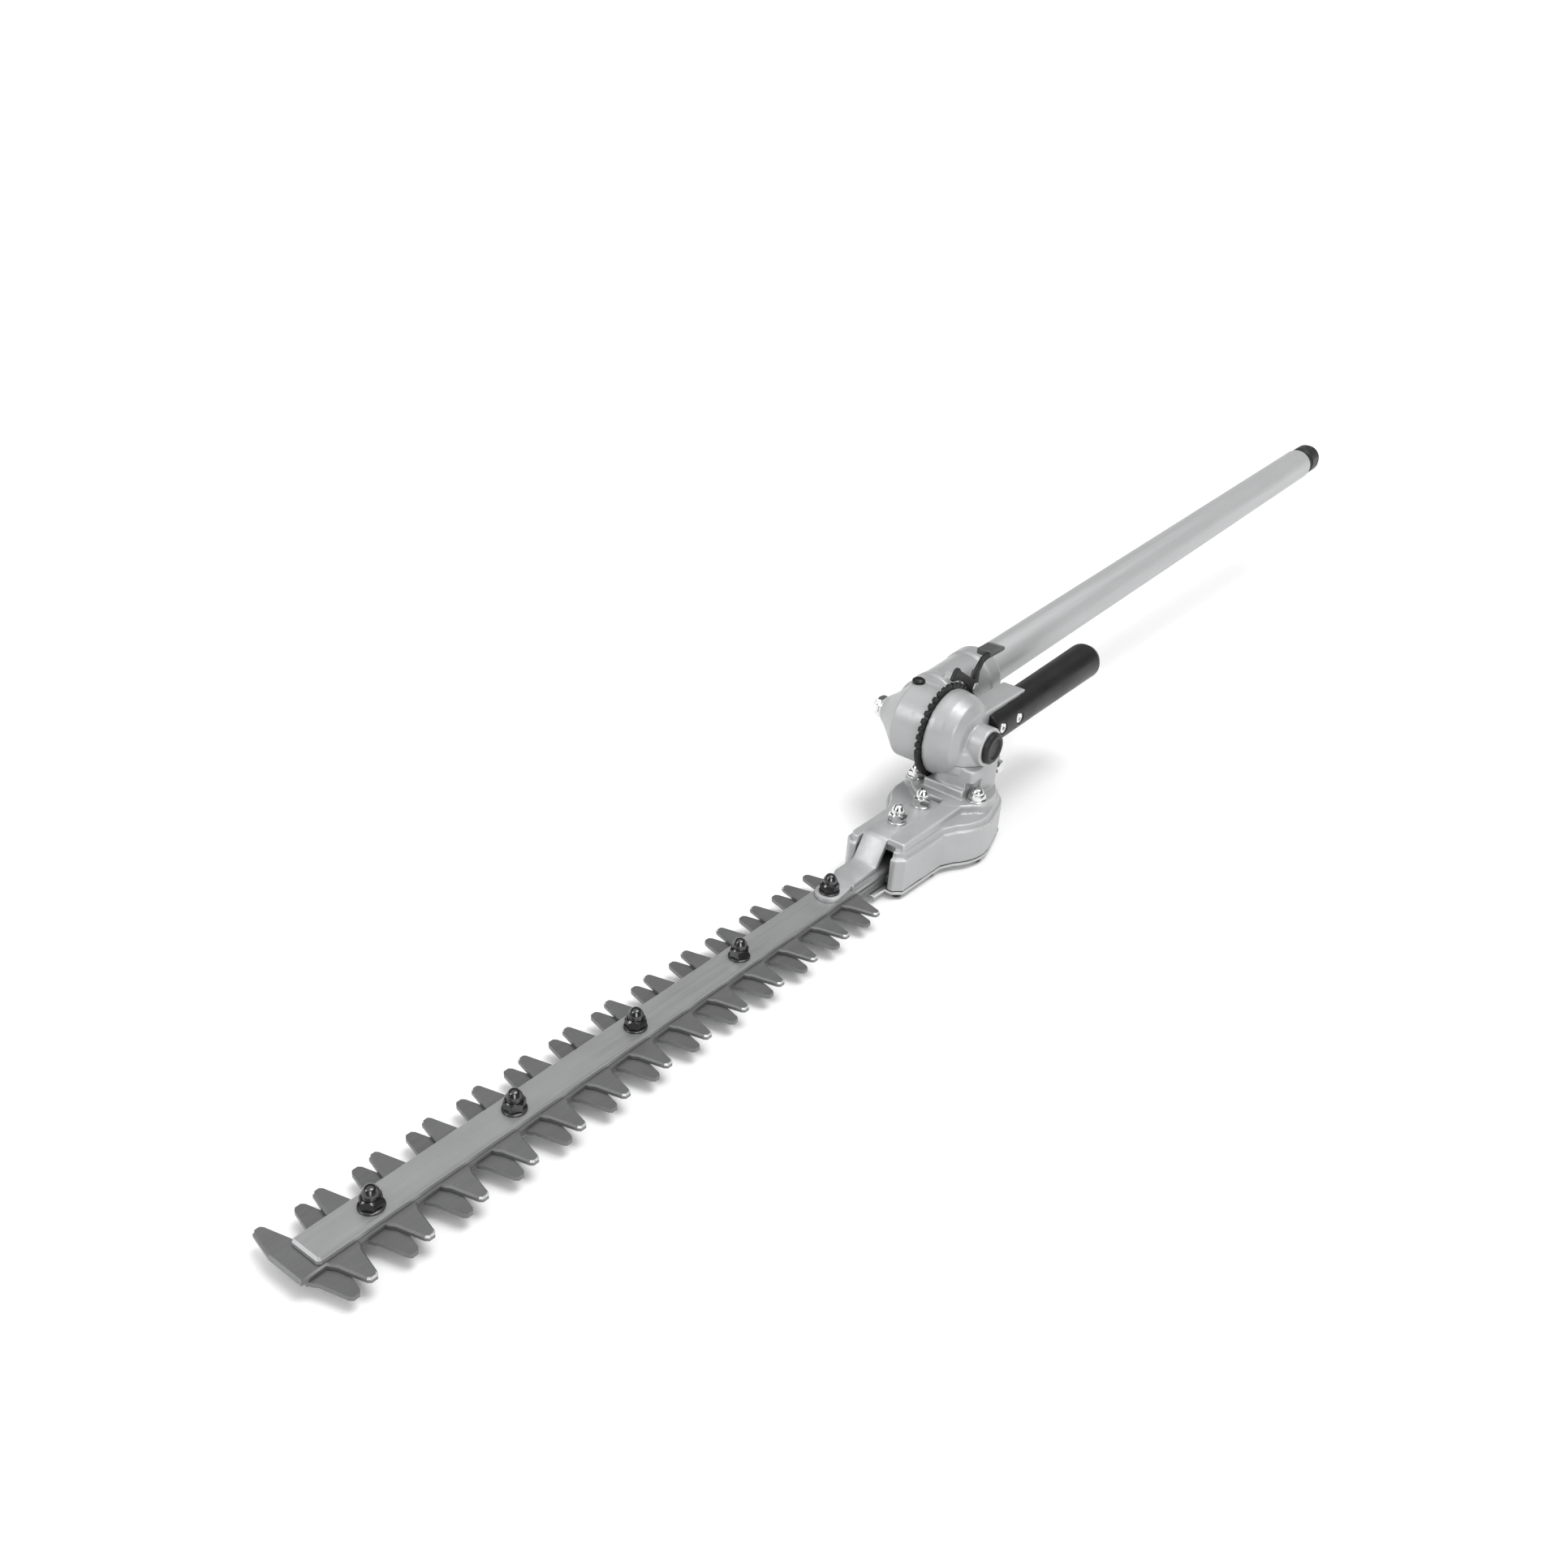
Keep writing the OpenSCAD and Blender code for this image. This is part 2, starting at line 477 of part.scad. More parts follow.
module bar_bracket() color([0.8, 0.81, 0.82]) in_head() difference() {
  union() {
    translate([0, bracket_y + bar_hw, 0]) rotate([90, 0, 0]) linear_extrude(2*bar_hw)
      polygon([[bolt_x0, bar_top], [-97.5, bar_top], [-87.4, deck_z], [-27, deck_z],
        [-27, deck_z + plate_t], [-89.2, deck_z + plate_t], [-99.3, bar_top + plate_t],
        [bolt_x0, bar_top + plate_t]]);
    translate([bolt_x0, 0, bar_top]) cylinder(h = plate_t, r = bar_hw, $fn = 48);
  }
  translate([bolt_x0, 0, -70]) cylinder(h = 30, r = 3.03, $fn = 24);
  box(bolt_x0 - 1, -130, 8.5, 20, -60, -40);
  for (x = [-66, -38]) translate([x, bracket_y, -45]) cylinder(h = 20, r = 2.53, $fn = 24);
}
module bracket_studs() color("silver") in_head() for (x = [-66, -38])
  translate([x, bracket_y, -44.5]) cylinder(h = 12.8, r = 2.5, $fn = 24);
module bracket_nuts() color("gainsboro") in_head() for (x = [-66, -38])
  translate([x, bracket_y, deck_z + plate_t]) domed_nut(10, 12, 2.52, 4.6);

// outline of one tooth from root to root along +X, as [x, y] for the left side
tooth_pts = [[-8.8, 9.4], [-7.9, 11.6], [-6.6, 13.4], [-2.9, tip_y - 1.6], [-1.6, tip_y],
  [1.6, tip_y], [2.9, tip_y - 1.6], [6.6, 13.4], [7.9, 11.6], [8.8, 9.4]];
// skip leaves out the first points, where a tooth's flank runs straight into the blade's end
function teeth_line(x0, s, skip = 0) = [for (k = [0:teeth - 1], i = [k == 0 ? skip : 0:9])
  [x0 + k*pitch + tooth_pts[i][0], s*tooth_pts[i][1]]];
function flip(v) = [for (i = [len(v) - 1:-1:0]) v[i]];
// tl and tr place the first teeth left and right, shift moves the tail window with the blade
module blade_plan(tl, tr, tip, skip, shift) difference() {
  slot_a = shift - throw;
  slot_b = shift + throw;
  tail = crank_x + shift + 24.4;
  polygon(concat([[tip, -9.4], [tip, skip > 0 ? 12.5 : 9.4]], teeth_line(tl, 1, skip),
    [[-92, 9.4], [-92, 10.4], [-60, 10.4], [-54, 16.6], [tail, 16.6], [tail, -16.6],
    [-54, -16.6], [-60, -10.4], [-92, -10.4], [-92, -9.4]], flip(teeth_line(tr, -1))));
  translate([crank_x + shift - 19.6, -11.8]) square([39.2, 23.6]);
  for (i = [0:4]) translate([bolt_x0 - i*bolt_step, 0]) {
    translate([slot_a, 0]) circle(r = 4.2 + clear, $fn = 24);
    translate([slot_b, 0]) circle(r = 4.2 + clear, $fn = 24);
    translate([slot_a, -4.2 - clear]) square([slot_b - slot_a, 8.4 + 2*clear]);
  }
}
module upper_blade() color([0.4, 0.41, 0.42]) in_head() translate([0, 0, up_bot]) linear_extrude(blade_t)
  blade_plan(tip_x, tip_x + 15.35, tip_x - 6.3, 3, phase_x);
module lower_blade() color([0.36, 0.37, 0.38]) in_head() translate([0, 0, lo_bot]) linear_extrude(blade_t)
  blade_plan(tip_x + 21.2, tip_x + 5.9, tip_x - 3.5, 0, -phase_x);

pole_tube();
pole_plug();
shaft_bushes();
drive_shaft();
input_bevel();
input_bearings();
upper_case();
case_end_bolt();
case_end_washer();
grease_screw();
socket_screws();
lever_pin();
lock_lever();
lever_pad();
lever_spring();
pivot_ring();
cross_shaft();
cross_bevel_upper();
cross_bevel_lower();
cross_bearing_upper();
cross_bearing_lower();
lower_case();
click_plate();
click_screws();
side_plug();
handle_core();
grip();
grip_screws();
upright_shaft();
upright_bevel();
pinion();
upright_bearings();
crankcase();
case_gasket();
bottom_cover();
cover_screws();
neck_bolts();
neck_nuts();
rear_bolt();
rear_nut();
crank_axle();
crank_gear();
crank_pins();
crank_rollers();
guide_bar();
bar_bolts();
bar_nuts();
bar_bracket();
bracket_studs();
bracket_nuts();
upper_blade();
lower_blade();
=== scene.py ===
"""Finished surfaces for a tilting-head hedge trimmer attachment.

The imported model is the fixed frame. Each sub-assembly is a class that shapes its visible pieces in
millimetres, in the head's or the pole's own directions, and dresses them and the parts inside it.
"""

import json
import logging
import math
from collections.abc import Callable, Iterable, Sequence
from dataclasses import dataclass, field
from enum import Enum
from functools import cache

import bmesh
import bpy
from mathutils import Matrix, Vector


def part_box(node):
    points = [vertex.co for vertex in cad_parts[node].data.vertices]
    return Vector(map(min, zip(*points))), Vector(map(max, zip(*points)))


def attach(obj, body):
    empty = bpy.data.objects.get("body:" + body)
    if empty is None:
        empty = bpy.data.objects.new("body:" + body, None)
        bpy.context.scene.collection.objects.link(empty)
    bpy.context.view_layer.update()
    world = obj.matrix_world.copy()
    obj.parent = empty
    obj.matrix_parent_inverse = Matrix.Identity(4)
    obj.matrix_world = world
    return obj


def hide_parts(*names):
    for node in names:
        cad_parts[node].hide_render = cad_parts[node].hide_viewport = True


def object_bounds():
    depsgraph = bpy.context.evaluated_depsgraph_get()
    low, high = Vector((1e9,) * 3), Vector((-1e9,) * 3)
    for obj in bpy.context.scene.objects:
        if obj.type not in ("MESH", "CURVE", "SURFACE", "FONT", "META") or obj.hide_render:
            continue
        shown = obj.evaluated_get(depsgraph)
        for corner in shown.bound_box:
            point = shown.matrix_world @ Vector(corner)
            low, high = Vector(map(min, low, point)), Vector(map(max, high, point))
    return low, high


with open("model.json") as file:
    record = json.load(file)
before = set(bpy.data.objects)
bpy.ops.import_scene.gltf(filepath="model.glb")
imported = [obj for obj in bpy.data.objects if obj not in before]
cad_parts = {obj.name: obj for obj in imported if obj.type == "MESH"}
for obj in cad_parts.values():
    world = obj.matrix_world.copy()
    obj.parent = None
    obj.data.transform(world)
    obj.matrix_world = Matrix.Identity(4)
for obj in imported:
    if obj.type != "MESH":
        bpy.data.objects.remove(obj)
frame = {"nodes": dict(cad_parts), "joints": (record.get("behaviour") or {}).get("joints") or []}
CAD_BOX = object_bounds()

LOG = logging.getLogger("trimmer")
MM = 0.001
MERGE_MM = 0.002
LEVEL_MM = 0.05
SKIN_CREASE_DEG = 60.0
Outline = list[tuple[float, float]]


class Body(Enum):
    """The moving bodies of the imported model."""

    POLE = "pole"
    HEAD = "head"
    LEVER = "lever"
    BLADE_UP = "blade_up"
    BLADE_LOW = "blade_low"


class Axis(Enum):
    """Which way the local Z of a turned or extruded shape points."""

    X = Matrix.Rotation(math.radians(90), 4, "Y")
    Y = Matrix.Rotation(math.radians(-90), 4, "X")
    MINUS_Y = Matrix.Rotation(math.radians(90), 4, "X")
    Z = Matrix.Identity(4)
    MINUS_Z = Matrix.Rotation(math.radians(180), 4, "X")


def joint_point(name: str) -> Vector:
    """Finds a joint's place.

    Args:
        name: The joint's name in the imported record.

    Returns:
        Its point in the row frame, in metres.
    """
    return Vector(next(j["pos_m"] for j in frame["joints"] if j["name"] == name))


def joint_axis(name: str) -> Vector:
    """Returns a joint's axis in the row frame, by the joint's name."""
    return Vector(next(j["axis"] for j in frame["joints"] if j["name"] == name))


def frames() -> tuple[Matrix, Matrix]:
    """Builds the two working frames, both in millimetres.

    Returns:
        The head's frame, on the tilt axis, and the pole's frame, whose X runs along the tube.
    """
    pole_x = joint_axis("input_spin")
    rise = math.atan2(pole_x.z, pole_x.x)
    head = Matrix.Translation(joint_point("head_tilt")) @ Matrix.Scale(MM, 4)
    pole = (Matrix.Translation(joint_point("input_spin")) @ Matrix.Rotation(-rise, 4, "Y")
            @ Matrix.Scale(MM, 4))
    return head, pole


HEAD_FRAME, POLE_FRAME = frames()


# ------------------------------------------------------------------------------------ finishes
class Graph:
    """Lays out the nodes of one material."""

    def __init__(self, name: str) -> None:
        """Starts a material of that name with its shader and object coordinates.

        Args:
            name: The material's name.
        """
        self.material = bpy.data.materials.new(name)
        self.material.use_nodes = True
        self.tree = self.material.node_tree
        self.shader = self.tree.nodes["Principled BSDF"]
        self.place = self.add("ShaderNodeTexCoord").outputs["Object"]

    def add(self, kind: str, **settings: object) -> bpy.types.Node:
        """Adds a node.

        Args:
            kind: The node's type name.
            **settings: Properties of the node to set.

        Returns:
            The new node.
        """
        node = self.tree.nodes.new(kind)
        for key, value in settings.items():
            setattr(node, key, value)
        return node

    def feed(self, socket: bpy.types.NodeSocket, value: object) -> None:
        """Links a socket, or sets it where the value is plain.

        Args:
            socket: The input to feed.
            value: Another node's output, or a plain value.
        """
        if isinstance(value, bpy.types.NodeSocket):
            self.tree.links.new(value, socket)
        else:
            socket.default_value = value

    def noise(self, size_mm: Sequence[float], detail: float = 3.0, rough: float = 0.55,
              turn: float = 0.0) -> bpy.types.NodeSocket:
        """Adds a noise pattern.

        Args:
            size_mm: Rough size of one blotch along X, Y and Z.
            detail: Number of finer layers.
            rough: Strength of the finer layers.
            turn: Turn of the pattern about Y, in radians.

        Returns:
            The pattern, from 0 to 1.
        """
        mapping = self.add("ShaderNodeMapping", vector_type="TEXTURE")
        self.feed(mapping.inputs["Vector"], self.place)
        mapping.inputs["Rotation"].default_value = (0.0, turn, 0.0)
        mapping.inputs["Scale"].default_value = [s * MM for s in size_mm]
        noise = self.add("ShaderNodeTexNoise")
        self.feed(noise.inputs["Vector"], mapping.outputs["Vector"])
        noise.inputs["Scale"].default_value = 1.0
        noise.inputs["Detail"].default_value = detail
        noise.inputs["Roughness"].default_value = rough
        return noise.outputs["Fac"]

    def spread(self, value: bpy.types.NodeSocket, low: float, high: float, start: float = 0.0,
               end: float = 1.0) -> bpy.types.NodeSocket:
        """Stretches the part of a pattern from low to high over start to end, and clamps it.

        Args:
            value: The pattern.
            low: Where the stretched part begins.
            high: Where it ends.
            start: What the beginning becomes.
            end: What the end becomes.

        Returns:
            The stretched pattern.
        """
        node = self.add("ShaderNodeMapRange")
        self.feed(node.inputs["Value"], value)
        for key, number in (("From Min", low), ("From Max", high), ("To Min", start), ("To Max", end)):
            node.inputs[key].default_value = number
        return node.outputs["Result"]

    def combine(self, operation: str, first: object, second: object) -> bpy.types.NodeSocket:
        """Adds a math node of that operation on two values.

        Args:
            operation: The node's operation.
            first: Its first value.
            second: Its second value.

        Returns:
            The result.
        """
        node = self.add("ShaderNodeMath", operation=operation)
        self.feed(node.inputs[0], first)
        self.feed(node.inputs[1], second)
        return node.outputs[0]

    def tint(self, share: object, first: object, second: object) -> bpy.types.NodeSocket:
        """Mixes two colours by a share from 0 to 1.

        Args:
            share: How much of the second colour shows.
            first: The first colour.
            second: The second colour.

        Returns:
            The mixed colour.
        """
        node = self.add("ShaderNodeMix", data_type="RGBA")
        self.feed(node.inputs[0], share)
        self.feed(node.inputs[6], first)
        self.feed(node.inputs[7], second)
        return node.outputs[2]

    def edges(self, radius_mm: float) -> bpy.types.NodeSocket:
        """Marks sharp edges.

        Args:
            radius_mm: Width of the mark.

        Returns:
            1 at an edge and 0 on a flat face.
        """
        soft = self.add("ShaderNodeBevel", samples=4)
        soft.inputs["Radius"].default_value = radius_mm * MM
        flat = self.add("ShaderNodeNewGeometry")
        dot = self.add("ShaderNodeVectorMath", operation="DOT_PRODUCT")
        self.feed(dot.inputs[0], soft.outputs["Normal"])
        self.feed(dot.inputs[1], flat.outputs["Normal"])
        return self.spread(dot.outputs["Value"], 0.995, 0.86)

    def relief(self, *layers: tuple[bpy.types.NodeSocket, float]) -> None:
        """Adds bump layers, one over another.

        Args:
            *layers: Each layer's height pattern and its depth in millimetres.
        """
        normal = None
        for height, depth_mm in layers:
            bump = self.add("ShaderNodeBump")
            bump.inputs["Strength"].default_value = 1.0
            bump.inputs["Distance"].default_value = depth_mm * MM
            self.feed(bump.inputs["Height"], height)
            if normal is not None:
                self.feed(bump.inputs["Normal"], normal)
            normal = bump.outputs["Normal"]
        self.feed(self.shader.inputs["Normal"], normal)


def grey(level: float, warm: float = 0.0) -> tuple[float, float, float, float]:
    """Returns a grey as a colour, shifted a little to warm or, below 0, to cool."""
    return (level * (1 + warm), level, level * (1 - warm), 1.0)


@dataclass(frozen=True)
class Finish:
    """A surface finish: its plain values, and the pattern that its own class draws."""

    name: str
    level: float
    roughness: float
    metallic: float = 0.0
    warm: float = -0.012

    def draw(self, graph: Graph) -> None:
        """Draws colour, roughness and relief on the graph."""
        raise NotImplementedError

    @cache
    def material(self) -> bpy.types.Material:
        """Makes the finish's material, once.

        Returns:
            The material that all its pieces share.
        """
        graph = Graph(self.name)
        graph.shader.inputs["Metallic"].default_value = self.metallic
        self.draw(graph)
        return graph.material


@dataclass(frozen=True)
class CastPaint(Finish):
    """Silver paint over a die casting: fine grain, orange peel, rubbed high edges, and hollows darkened by
    dust and painted shade.
    """

    grain_mm: float = 0.45
    wear: float = 0.5

    def draw(self, graph: Graph) -> None:
        """Draws the paint.

        Args:
            graph: The material's nodes.
        """
        grain = graph.noise([self.grain_mm] * 3, 4.0)
        peel = graph.noise([3.2] * 3, 2.0)
        cloud = graph.noise([26.0] * 3, 3.0)
        high = graph.add("ShaderNodeNewGeometry").outputs["Pointiness"]
        rub = graph.combine("MULTIPLY", graph.spread(high, 0.515, 0.57), self.wear)
        # Low pointiness marks the hollows, which are darkened for dust and for painted shade in them.
        hollow_dust_and_shade = graph.spread(high, 0.47, 0.42, 0.0, 0.45)
        paint = graph.tint(graph.spread(cloud, 0.3, 0.7), grey(self.level * 0.95, self.warm),
                           grey(self.level * 1.04, self.warm))
        speck = graph.tint(graph.spread(grain, 0.35, 0.75, 0.0, 0.35), paint, grey(self.level * 0.8))
        # Lays the dust and the painted shade over the hollows.
        dusty = graph.tint(hollow_dust_and_shade, speck, grey(self.level * 0.55, 0.02))
        graph.feed(graph.shader.inputs["Base Color"], graph.tint(rub, dusty, grey(0.78)))
        rough = graph.spread(peel, 0.3, 0.7, self.roughness - 0.05, self.roughness + 0.06)
        graph.feed(graph.shader.inputs["Roughness"], rough)
        graph.relief((peel, 0.08), (grain, 0.05))


@dataclass(frozen=True)
class BrushedMetal(Finish):
    """Ground, drawn or rolled metal: fine parallel lines, soft stains and bright rubbed edges."""

    along_mm: tuple[float, float, float] = (42.0, 0.28, 0.28)
    turn: float = 0.0
    line_mm: float = 0.01
    stain: float = 0.18
    edge_mm: float = 0.35
    edge_level: float = 0.7

    def draw(self, graph: Graph) -> None:
        """Draws the metal.

        Args:
            graph: The material's nodes.
        """
        lines = graph.noise(self.along_mm, 3.0, 0.6, self.turn)
        streak = graph.noise([s * 5 for s in self.along_mm], 2.0, 0.5, self.turn)
        cloud = graph.noise([34.0, 18.0, 18.0], 4.0)
        scratch = graph.noise([9.0, 0.35, 0.6], 1.0, 0.4, self.turn + 0.5)
        base = graph.tint(graph.spread(cloud, 0.35, 0.7, 0.0, self.stain * 2),
                          grey(self.level * 1.04, self.warm), grey(self.level * 0.7, 0.01))
        drawn = graph.tint(graph.spread(lines, 0.35, 0.7, 0.0, 0.4), base, grey(self.level * 1.22))
        marked = graph.tint(graph.spread(scratch, 0.72, 0.78, 0.0, 0.5), drawn, grey(self.edge_level))
        worn = graph.tint(graph.spread(graph.edges(self.edge_mm), 0.2, 1.0, 0.0, 0.7), marked,
                          grey(self.edge_level))
        graph.feed(graph.shader.inputs["Base Color"], worn)
        rough = graph.spread(graph.combine("ADD", lines, streak), 0.7, 1.3, self.roughness - 0.07,
                             self.roughness + 0.09)
        graph.feed(graph.shader.inputs["Roughness"], rough)
        graph.relief((lines, self.line_mm), (scratch, self.line_mm * 0.4))


@dataclass(frozen=True)
class BrightPlate(Finish):
    """Bright nickel plate: hairline marks and faint clouding."""

    def draw(self, graph: Graph) -> None:
        """Draws the plate.

        Args:
            graph: The material's nodes.
        """
        cloud = graph.noise([4.0] * 3, 3.0)
        hair = graph.noise([3.5, 0.12, 0.5], 2.0, 0.5, 0.6)
        tone = graph.tint(graph.spread(cloud, 0.3, 0.7), grey(self.level), grey(self.level * 0.88))
        graph.feed(graph.shader.inputs["Base Color"], tone)
        rough = graph.spread(cloud, 0.3, 0.75, self.roughness, self.roughness + 0.08)
        graph.feed(graph.shader.inputs["Roughness"], rough)
        graph.relief((hair, 0.004), (cloud, 0.03))


@dataclass(frozen=True)
class ZincPlate(Finish):
    """Zinc plate: a fine matt grain, soft spangle and lighter rubbed edges."""

    edge_mm: float = 0.4

    def draw(self, graph: Graph) -> None:
        """Draws the zinc.

        Args:
            graph: The material's nodes.
        """
        grain = graph.noise([0.5] * 3, 3.0)
        rolled = graph.noise([16.0, 1.2, 6.0], 3.0)
        cloud = graph.noise([12.0] * 3, 3.0)
        tone = graph.tint(graph.spread(cloud, 0.3, 0.7), grey(self.level * 1.05, self.warm),
                          grey(self.level * 0.86, self.warm))
        lined = graph.tint(graph.spread(rolled, 0.4, 0.75, 0.0, 0.3), tone, grey(self.level * 0.78))
        edge = graph.spread(graph.edges(self.edge_mm), 0.2, 1.0, 0.0, 0.6)
        graph.feed(graph.shader.inputs["Base Color"], graph.tint(edge, lined, grey(0.85)))
        rough = graph.spread(grain, 0.3, 0.7, self.roughness - 0.05, self.roughness + 0.07)
        graph.feed(graph.shader.inputs["Roughness"], rough)
        graph.relief((rolled, 0.03), (grain, 0.015))


@dataclass(frozen=True)
class BlackCoat(Finish):
    """Black coating on steel: slight peel, and edges rubbed towards bare metal."""

    edge_level: float = 0.12
    edge_mm: float = 0.4

    def draw(self, graph: Graph) -> None:
        """Draws the coating.

        Args:
            graph: The material's nodes.
        """
        graph.shader.inputs["Specular IOR Level"].default_value = 0.3
        peel = graph.noise([1.4] * 3, 3.0)
        chips = graph.noise([1.1] * 3, 4.0, 0.7)
        edge = graph.spread(graph.edges(self.edge_mm), 0.3, 1.0)
        rubbed = graph.combine("MULTIPLY", edge, graph.spread(chips, 0.42, 0.6))
        base = graph.tint(graph.spread(peel, 0.3, 0.7), grey(self.level), grey(self.level * 1.6))
        graph.feed(graph.shader.inputs["Base Color"], graph.tint(rubbed, base, grey(self.edge_level)))
        rough = graph.spread(peel, 0.3, 0.7, self.roughness - 0.06, self.roughness + 0.08)
        graph.feed(graph.shader.inputs["Roughness"], rough)
        graph.relief((peel, 0.03), (chips, 0.008))


@dataclass(frozen=True)
class Moulded(Finish):
    """Moulded rubber or plastic: pebble grain, hand polish and dry dust in its low spots."""

    pebble_mm: float = 0.9
    depth_mm: float = 0.05

    def draw(self, graph: Graph) -> None:
        """Draws the moulding.

        Args:
            graph: The material's nodes.
        """
        graph.shader.inputs["Specular IOR Level"].default_value = 0.35
        pebble = graph.add("ShaderNodeTexVoronoi", feature="SMOOTH_F1")
        mapping = graph.add("ShaderNodeMapping", vector_type="TEXTURE")
        graph.feed(mapping.inputs["Vector"], graph.place)
        mapping.inputs["Scale"].default_value = [self.pebble_mm * MM] * 3
        graph.feed(pebble.inputs["Vector"], mapping.outputs["Vector"])
        pebble.inputs["Scale"].default_value = 1.0
        fine = graph.noise([0.3] * 3, 3.0)
        cloud = graph.noise([22.0] * 3, 3.0)
        base = graph.tint(graph.spread(cloud, 0.3, 0.7), grey(self.level * 0.85, self.warm),
                          grey(self.level * 1.25, self.warm))
        dusty = graph.tint(graph.spread(pebble.outputs["Distance"], 0.35, 0.75, 0.0, 0.3), base,
                           grey(self.level * 2.1 + 0.01, 0.03))
        graph.feed(graph.shader.inputs["Base Color"], dusty)
        rough = graph.spread(cloud, 0.3, 0.7, self.roughness - 0.07, self.roughness + 0.06)
        graph.feed(graph.shader.inputs["Roughness"], rough)
        graph.relief((pebble.outputs["Distance"], -self.depth_mm), (fine, 0.012))


CASE_PAINT = CastPaint("case_paint", 0.41, 0.38, 0.3)
COVER_SHEET = BrushedMetal("cover_sheet", 0.5, 0.4, 0.8)
TUBE = BrushedMetal("anodised_tube", 0.42, 0.46, 0.35, along_mm=(60.0, 0.5, 0.5),
                    turn=-math.radians(3), stain=0.06, edge_mm=0.3)
BAR_STEEL = BrushedMetal("bar_steel", 0.4, 0.38, 0.7, edge_mm=0.5, edge_level=0.62)
UPPER_STEEL = BrushedMetal("upper_blade_steel", 0.19, 0.42, 0.7, edge_mm=0.25, edge_level=0.4)
LOWER_STEEL = BrushedMetal("lower_blade_steel", 0.17, 0.44, 0.7, edge_mm=0.25, edge_level=0.35)
GROUND_EDGE = BrushedMetal("ground_edge", 0.75, 0.3, 0.6, along_mm=(0.3, 9.0, 9.0), edge_mm=0.2,
                           stain=0.1)
GEAR_STEEL = BrushedMetal("gear_steel", 0.4, 0.3, 1.0, along_mm=(0.3, 0.3, 12.0), edge_mm=0.25)
SHAFT_STEEL = BrushedMetal("shaft_steel", 0.5, 0.25, 1.0, along_mm=(0.25, 12.0, 12.0), edge_mm=0.25)
SPRING_STEEL = BrushedMetal("spring_steel", 0.1, 0.35, 0.9, edge_mm=0.15)
NICKEL = BrightPlate("bright_nickel", 0.74, 0.06, 1.0)
# The same bright nickel as the other nuts, made dark to paint in the dark reflections seen on the bar's
# nuts.
NICKEL_PAINTED_DARK = BrightPlate("darkened_nickel", 0.1, 0.16, 1.0)
ZINC = ZincPlate("zinc", 0.66, 0.3, 0.9)
BRACKET_ZINC = ZincPlate("bracket_zinc", 0.5, 0.44, 0.6)
BLACK_PAINT = BlackCoat("black_paint", 0.008, 0.36)
BLACK_OXIDE = BlackCoat("black_oxide", 0.02, 0.34, 0.6, edge_level=0.25)
GRIP_RUBBER = Moulded("grip_rubber", 0.007, 0.4, pebble_mm=1.1)
PLUG_RUBBER = Moulded("plug_rubber", 0.01, 0.45, pebble_mm=0.7, depth_mm=0.03)
PAD_PLASTIC = Moulded("pad_plastic", 0.07, 0.45, pebble_mm=0.6, depth_mm=0.03)
BUSH_PLASTIC = Moulded("bush_plastic", 0.05, 0.45, pebble_mm=0.6, depth_mm=0.02)
GASKET_FIBRE = Moulded("gasket_fibre", 0.05, 0.75, warm=0.1, pebble_mm=0.5, depth_mm=0.03)


# ------------------------------------------------------------------------------------ shaping
def arc(centre: tuple[float, float], radius: float, start: float, end: float, steps: int) -> Outline:
    """Returns the points of an arc.

    Args:
        centre: The arc's centre.
        radius: Its radius.
        start: First angle, in degrees.
        end: Last angle, in degrees.
        steps: Number of steps between them.

    Returns:
        The points, both ends included.
    """
    turns = [math.radians(start + (end - start) * i / steps) for i in range(steps + 1)]
    return [(centre[0] + radius * math.cos(a), centre[1] + radius * math.sin(a)) for a in turns]


def rounded(corners: Iterable[tuple[float, float, float]], closed: bool = True,
            steps: int = 4) -> Outline:
    """Rounds the corners of an outline.

    Args:
        corners: Each corner's two coordinates and its radius.
        closed: Whether the last corner joins the first.
        steps: Number of steps in each rounding.

    Returns:
        The points of the rounded outline.
    """
    corners = list(corners)
    points: Outline = []
    for i, (x, y, radius) in enumerate(corners):
        here = Vector((x, y))
        if radius <= 0 or (not closed and i in (0, len(corners) - 1)):
            points.append((x, y))
            continue
        before = Vector(corners[i - 1][:2]) - here
        after = Vector(corners[(i + 1) % len(corners)][:2]) - here
        half = before.angle(after) / 2
        reach = min(radius / math.tan(half), 0.49 * before.length, 0.49 * after.length)
        first, last = here + before.normalized() * reach, here + after.normalized() * reach
        for k in range(steps + 1):
            t = k / steps
            spot = first * (1 - t) ** 2 + here * 2 * t * (1 - t) + last * t ** 2
            points.append((spot.x, spot.y))
    return points


def placed(axis: Axis, at: Sequence[float], turn: float = 0.0) -> Matrix:
    """Returns the matrix that points local Z along an axis from a point, after a turn in degrees."""
    return Matrix.Translation(Vector(at)) @ axis.value @ Matrix.Rotation(math.radians(turn), 4, "Z")


